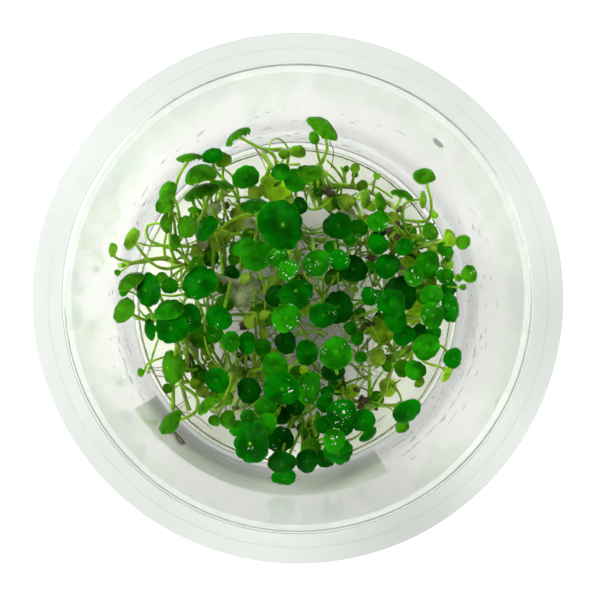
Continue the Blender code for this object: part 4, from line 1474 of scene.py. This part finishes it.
def growStuckRoot():
    look = stuckLook
    shape = bmesh.new()
    for radius, *readings in stuckRoot:
        points = []
        for u, v in readings:
            place, normal = onWall(u, v)
            points.append(place + normal * (radius + look["clear"]) * mm)
        route = smoothRoute(points, look["steps"])
        growTube(shape, route, radius * mm, radius * look["taper"] * mm, look["sides"])
    return toPiece("stuck_root", shape, [softMaterials["stuckBrown"]])


settle(growStuckRoot(), "stem")
print("drops and marks set")

# stage: a pale floor with painted shadow under the cup, darkest at its foot, and a painted shadow on the far
# side
stageLook = {
    "floorSize": 3.0,
    "floorDrop": 0.1 * mm,
    "open": (0.93, 0.93, 0.93),
    "underCupShadow": (0.84, 0.84, 0.81),
    "footShadow": (0.72, 0.74, 0.70),
    # painted shade just outside the foot, under the cup's edge
    "ring": (0.83, 0.84, 0.82),
    # painted shadow on the far side of the cup
    "far": (0.42, 0.43, 0.42),
    "footShade": (31.0 * mm, 35.8 * mm),
    "ringRange": (35.8 * mm, 36.2 * mm),
    "openRange": (37.6 * mm, 38.2 * mm),
    "farRange": (12.0 * mm, 34.0 * mm),
    "farShade": 0.6,
    "sockets": {"Roughness": 0.9, "Specular IOR Level": 0.1},
}


# painted shadow: the floor colour darkens under the cup, most at the foot ring and towards the far side
def floorMaterial():
    look = stageLook
    material, tree, shader = newMaterial("paleFloor", look["sockets"])
    moved = tree.nodes.new("ShaderNodeVectorMath")
    moved.operation = "SUBTRACT"
    moved.inputs[1].default_value = jellyLook["shift"]
    tree.links.new(objectPlace(tree), moved.inputs[0])
    away = tree.nodes.new("ShaderNodeVectorMath")
    away.operation = "LENGTH"
    tree.links.new(moved.outputs[0], away.inputs[0])
    distance = away.outputs["Value"]
    farShadowShare = softStep(tree, splitParts(tree, moved.outputs[0])[1], *look["farRange"])
    farShadowShare = mathNode(tree, "MULTIPLY", farShadowShare, look["farShade"])
    tone = mixColours(tree, softStep(tree, distance, *look["footShade"]), look["underCupShadow"], look["footShadow"])
    tone = mixColours(tree, softStep(tree, distance, *look["ringRange"]), tone, look["ring"])
    tone = mixColours(tree, farShadowShare, tone, look["far"])
    tone = mixColours(tree, softStep(tree, distance, *look["openRange"]), tone, look["open"])
    tree.links.new(tone, shader.inputs["Base Color"])
    return material


def makeFloor():
    shape = bmesh.new()
    bmesh.ops.create_grid(shape, x_segments=1, y_segments=1, size=stageLook["floorSize"] / 2)
    bmesh.ops.translate(shape, vec=-up * stageLook["floorDrop"], verts=shape.verts)
    return toPiece("floor", shape, [floorMaterial()])


makeFloor()

lamps = {
    "keyLamp": {"place": (-0.34, 0.16, 0.42), "size": 0.26, "watts": 2.2},
    "fillLamp": {"place": (0.60, 0.20, 0.55), "size": 0.40, "watts": 2.4},
    "lowLamp": {"place": (-0.10, -0.70, 0.50), "size": 0.40, "watts": 2.2},
}
for name, look in lamps.items():
    light = bpy.data.lights.new(name, "AREA")
    light.shape = "DISK"
    light.size = look["size"]
    light.energy = look["watts"]
    lamp = bpy.data.objects.new(name, light)
    lamp.location = look["place"]
    lamp.rotation_euler = (-Vector(look["place"])).to_track_quat("-Z", "Y").to_euler()
    bpy.context.scene.collection.objects.link(lamp)

skyLook = {"side": (1.07, 1.07, 1.07), "overhead": (0.11, 0.11, 0.11), "turn": (0.45, 0.97)}  # dim ceiling


def makeSky():
    world = bpy.data.worlds.new("studio")
    world.use_nodes = True
    tree = world.node_tree
    height = splitParts(tree, tree.nodes.new("ShaderNodeTexCoord").outputs["Generated"])[2]
    tone = mixColours(tree, softStep(tree, height, *skyLook["turn"]), skyLook["side"], skyLook["overhead"])
    tree.links.new(tone, tree.nodes["Background"].inputs["Color"])
    bpy.context.scene.world = world


makeSky()
bpy.context.scene.view_settings.view_transform = "Standard"

cameraLook = {"aim": Vector((0.28, -0.56, 62.0)) * mm, "lens": 93.0, "sensor": 36.0, "near": 10.0 * mm}


def placeCamera():
    data = bpy.data.cameras.new("camera")
    data.lens = cameraLook["lens"]
    data.sensor_width = cameraLook["sensor"]
    data.clip_start = cameraLook["near"]
    camera = bpy.data.objects.new("camera", data)
    camera.location = sight["eye"]
    toward = (cameraLook["aim"] - sight["eye"]).normalized()
    across = toward.cross(Vector((0.0, 1.0, 0.0))).normalized()
    camera.rotation_euler = Matrix((across, across.cross(toward), -toward)).transposed().to_euler()
    bpy.context.scene.collection.objects.link(camera)
    bpy.context.scene.camera = camera


placeCamera()
print("stage lit")
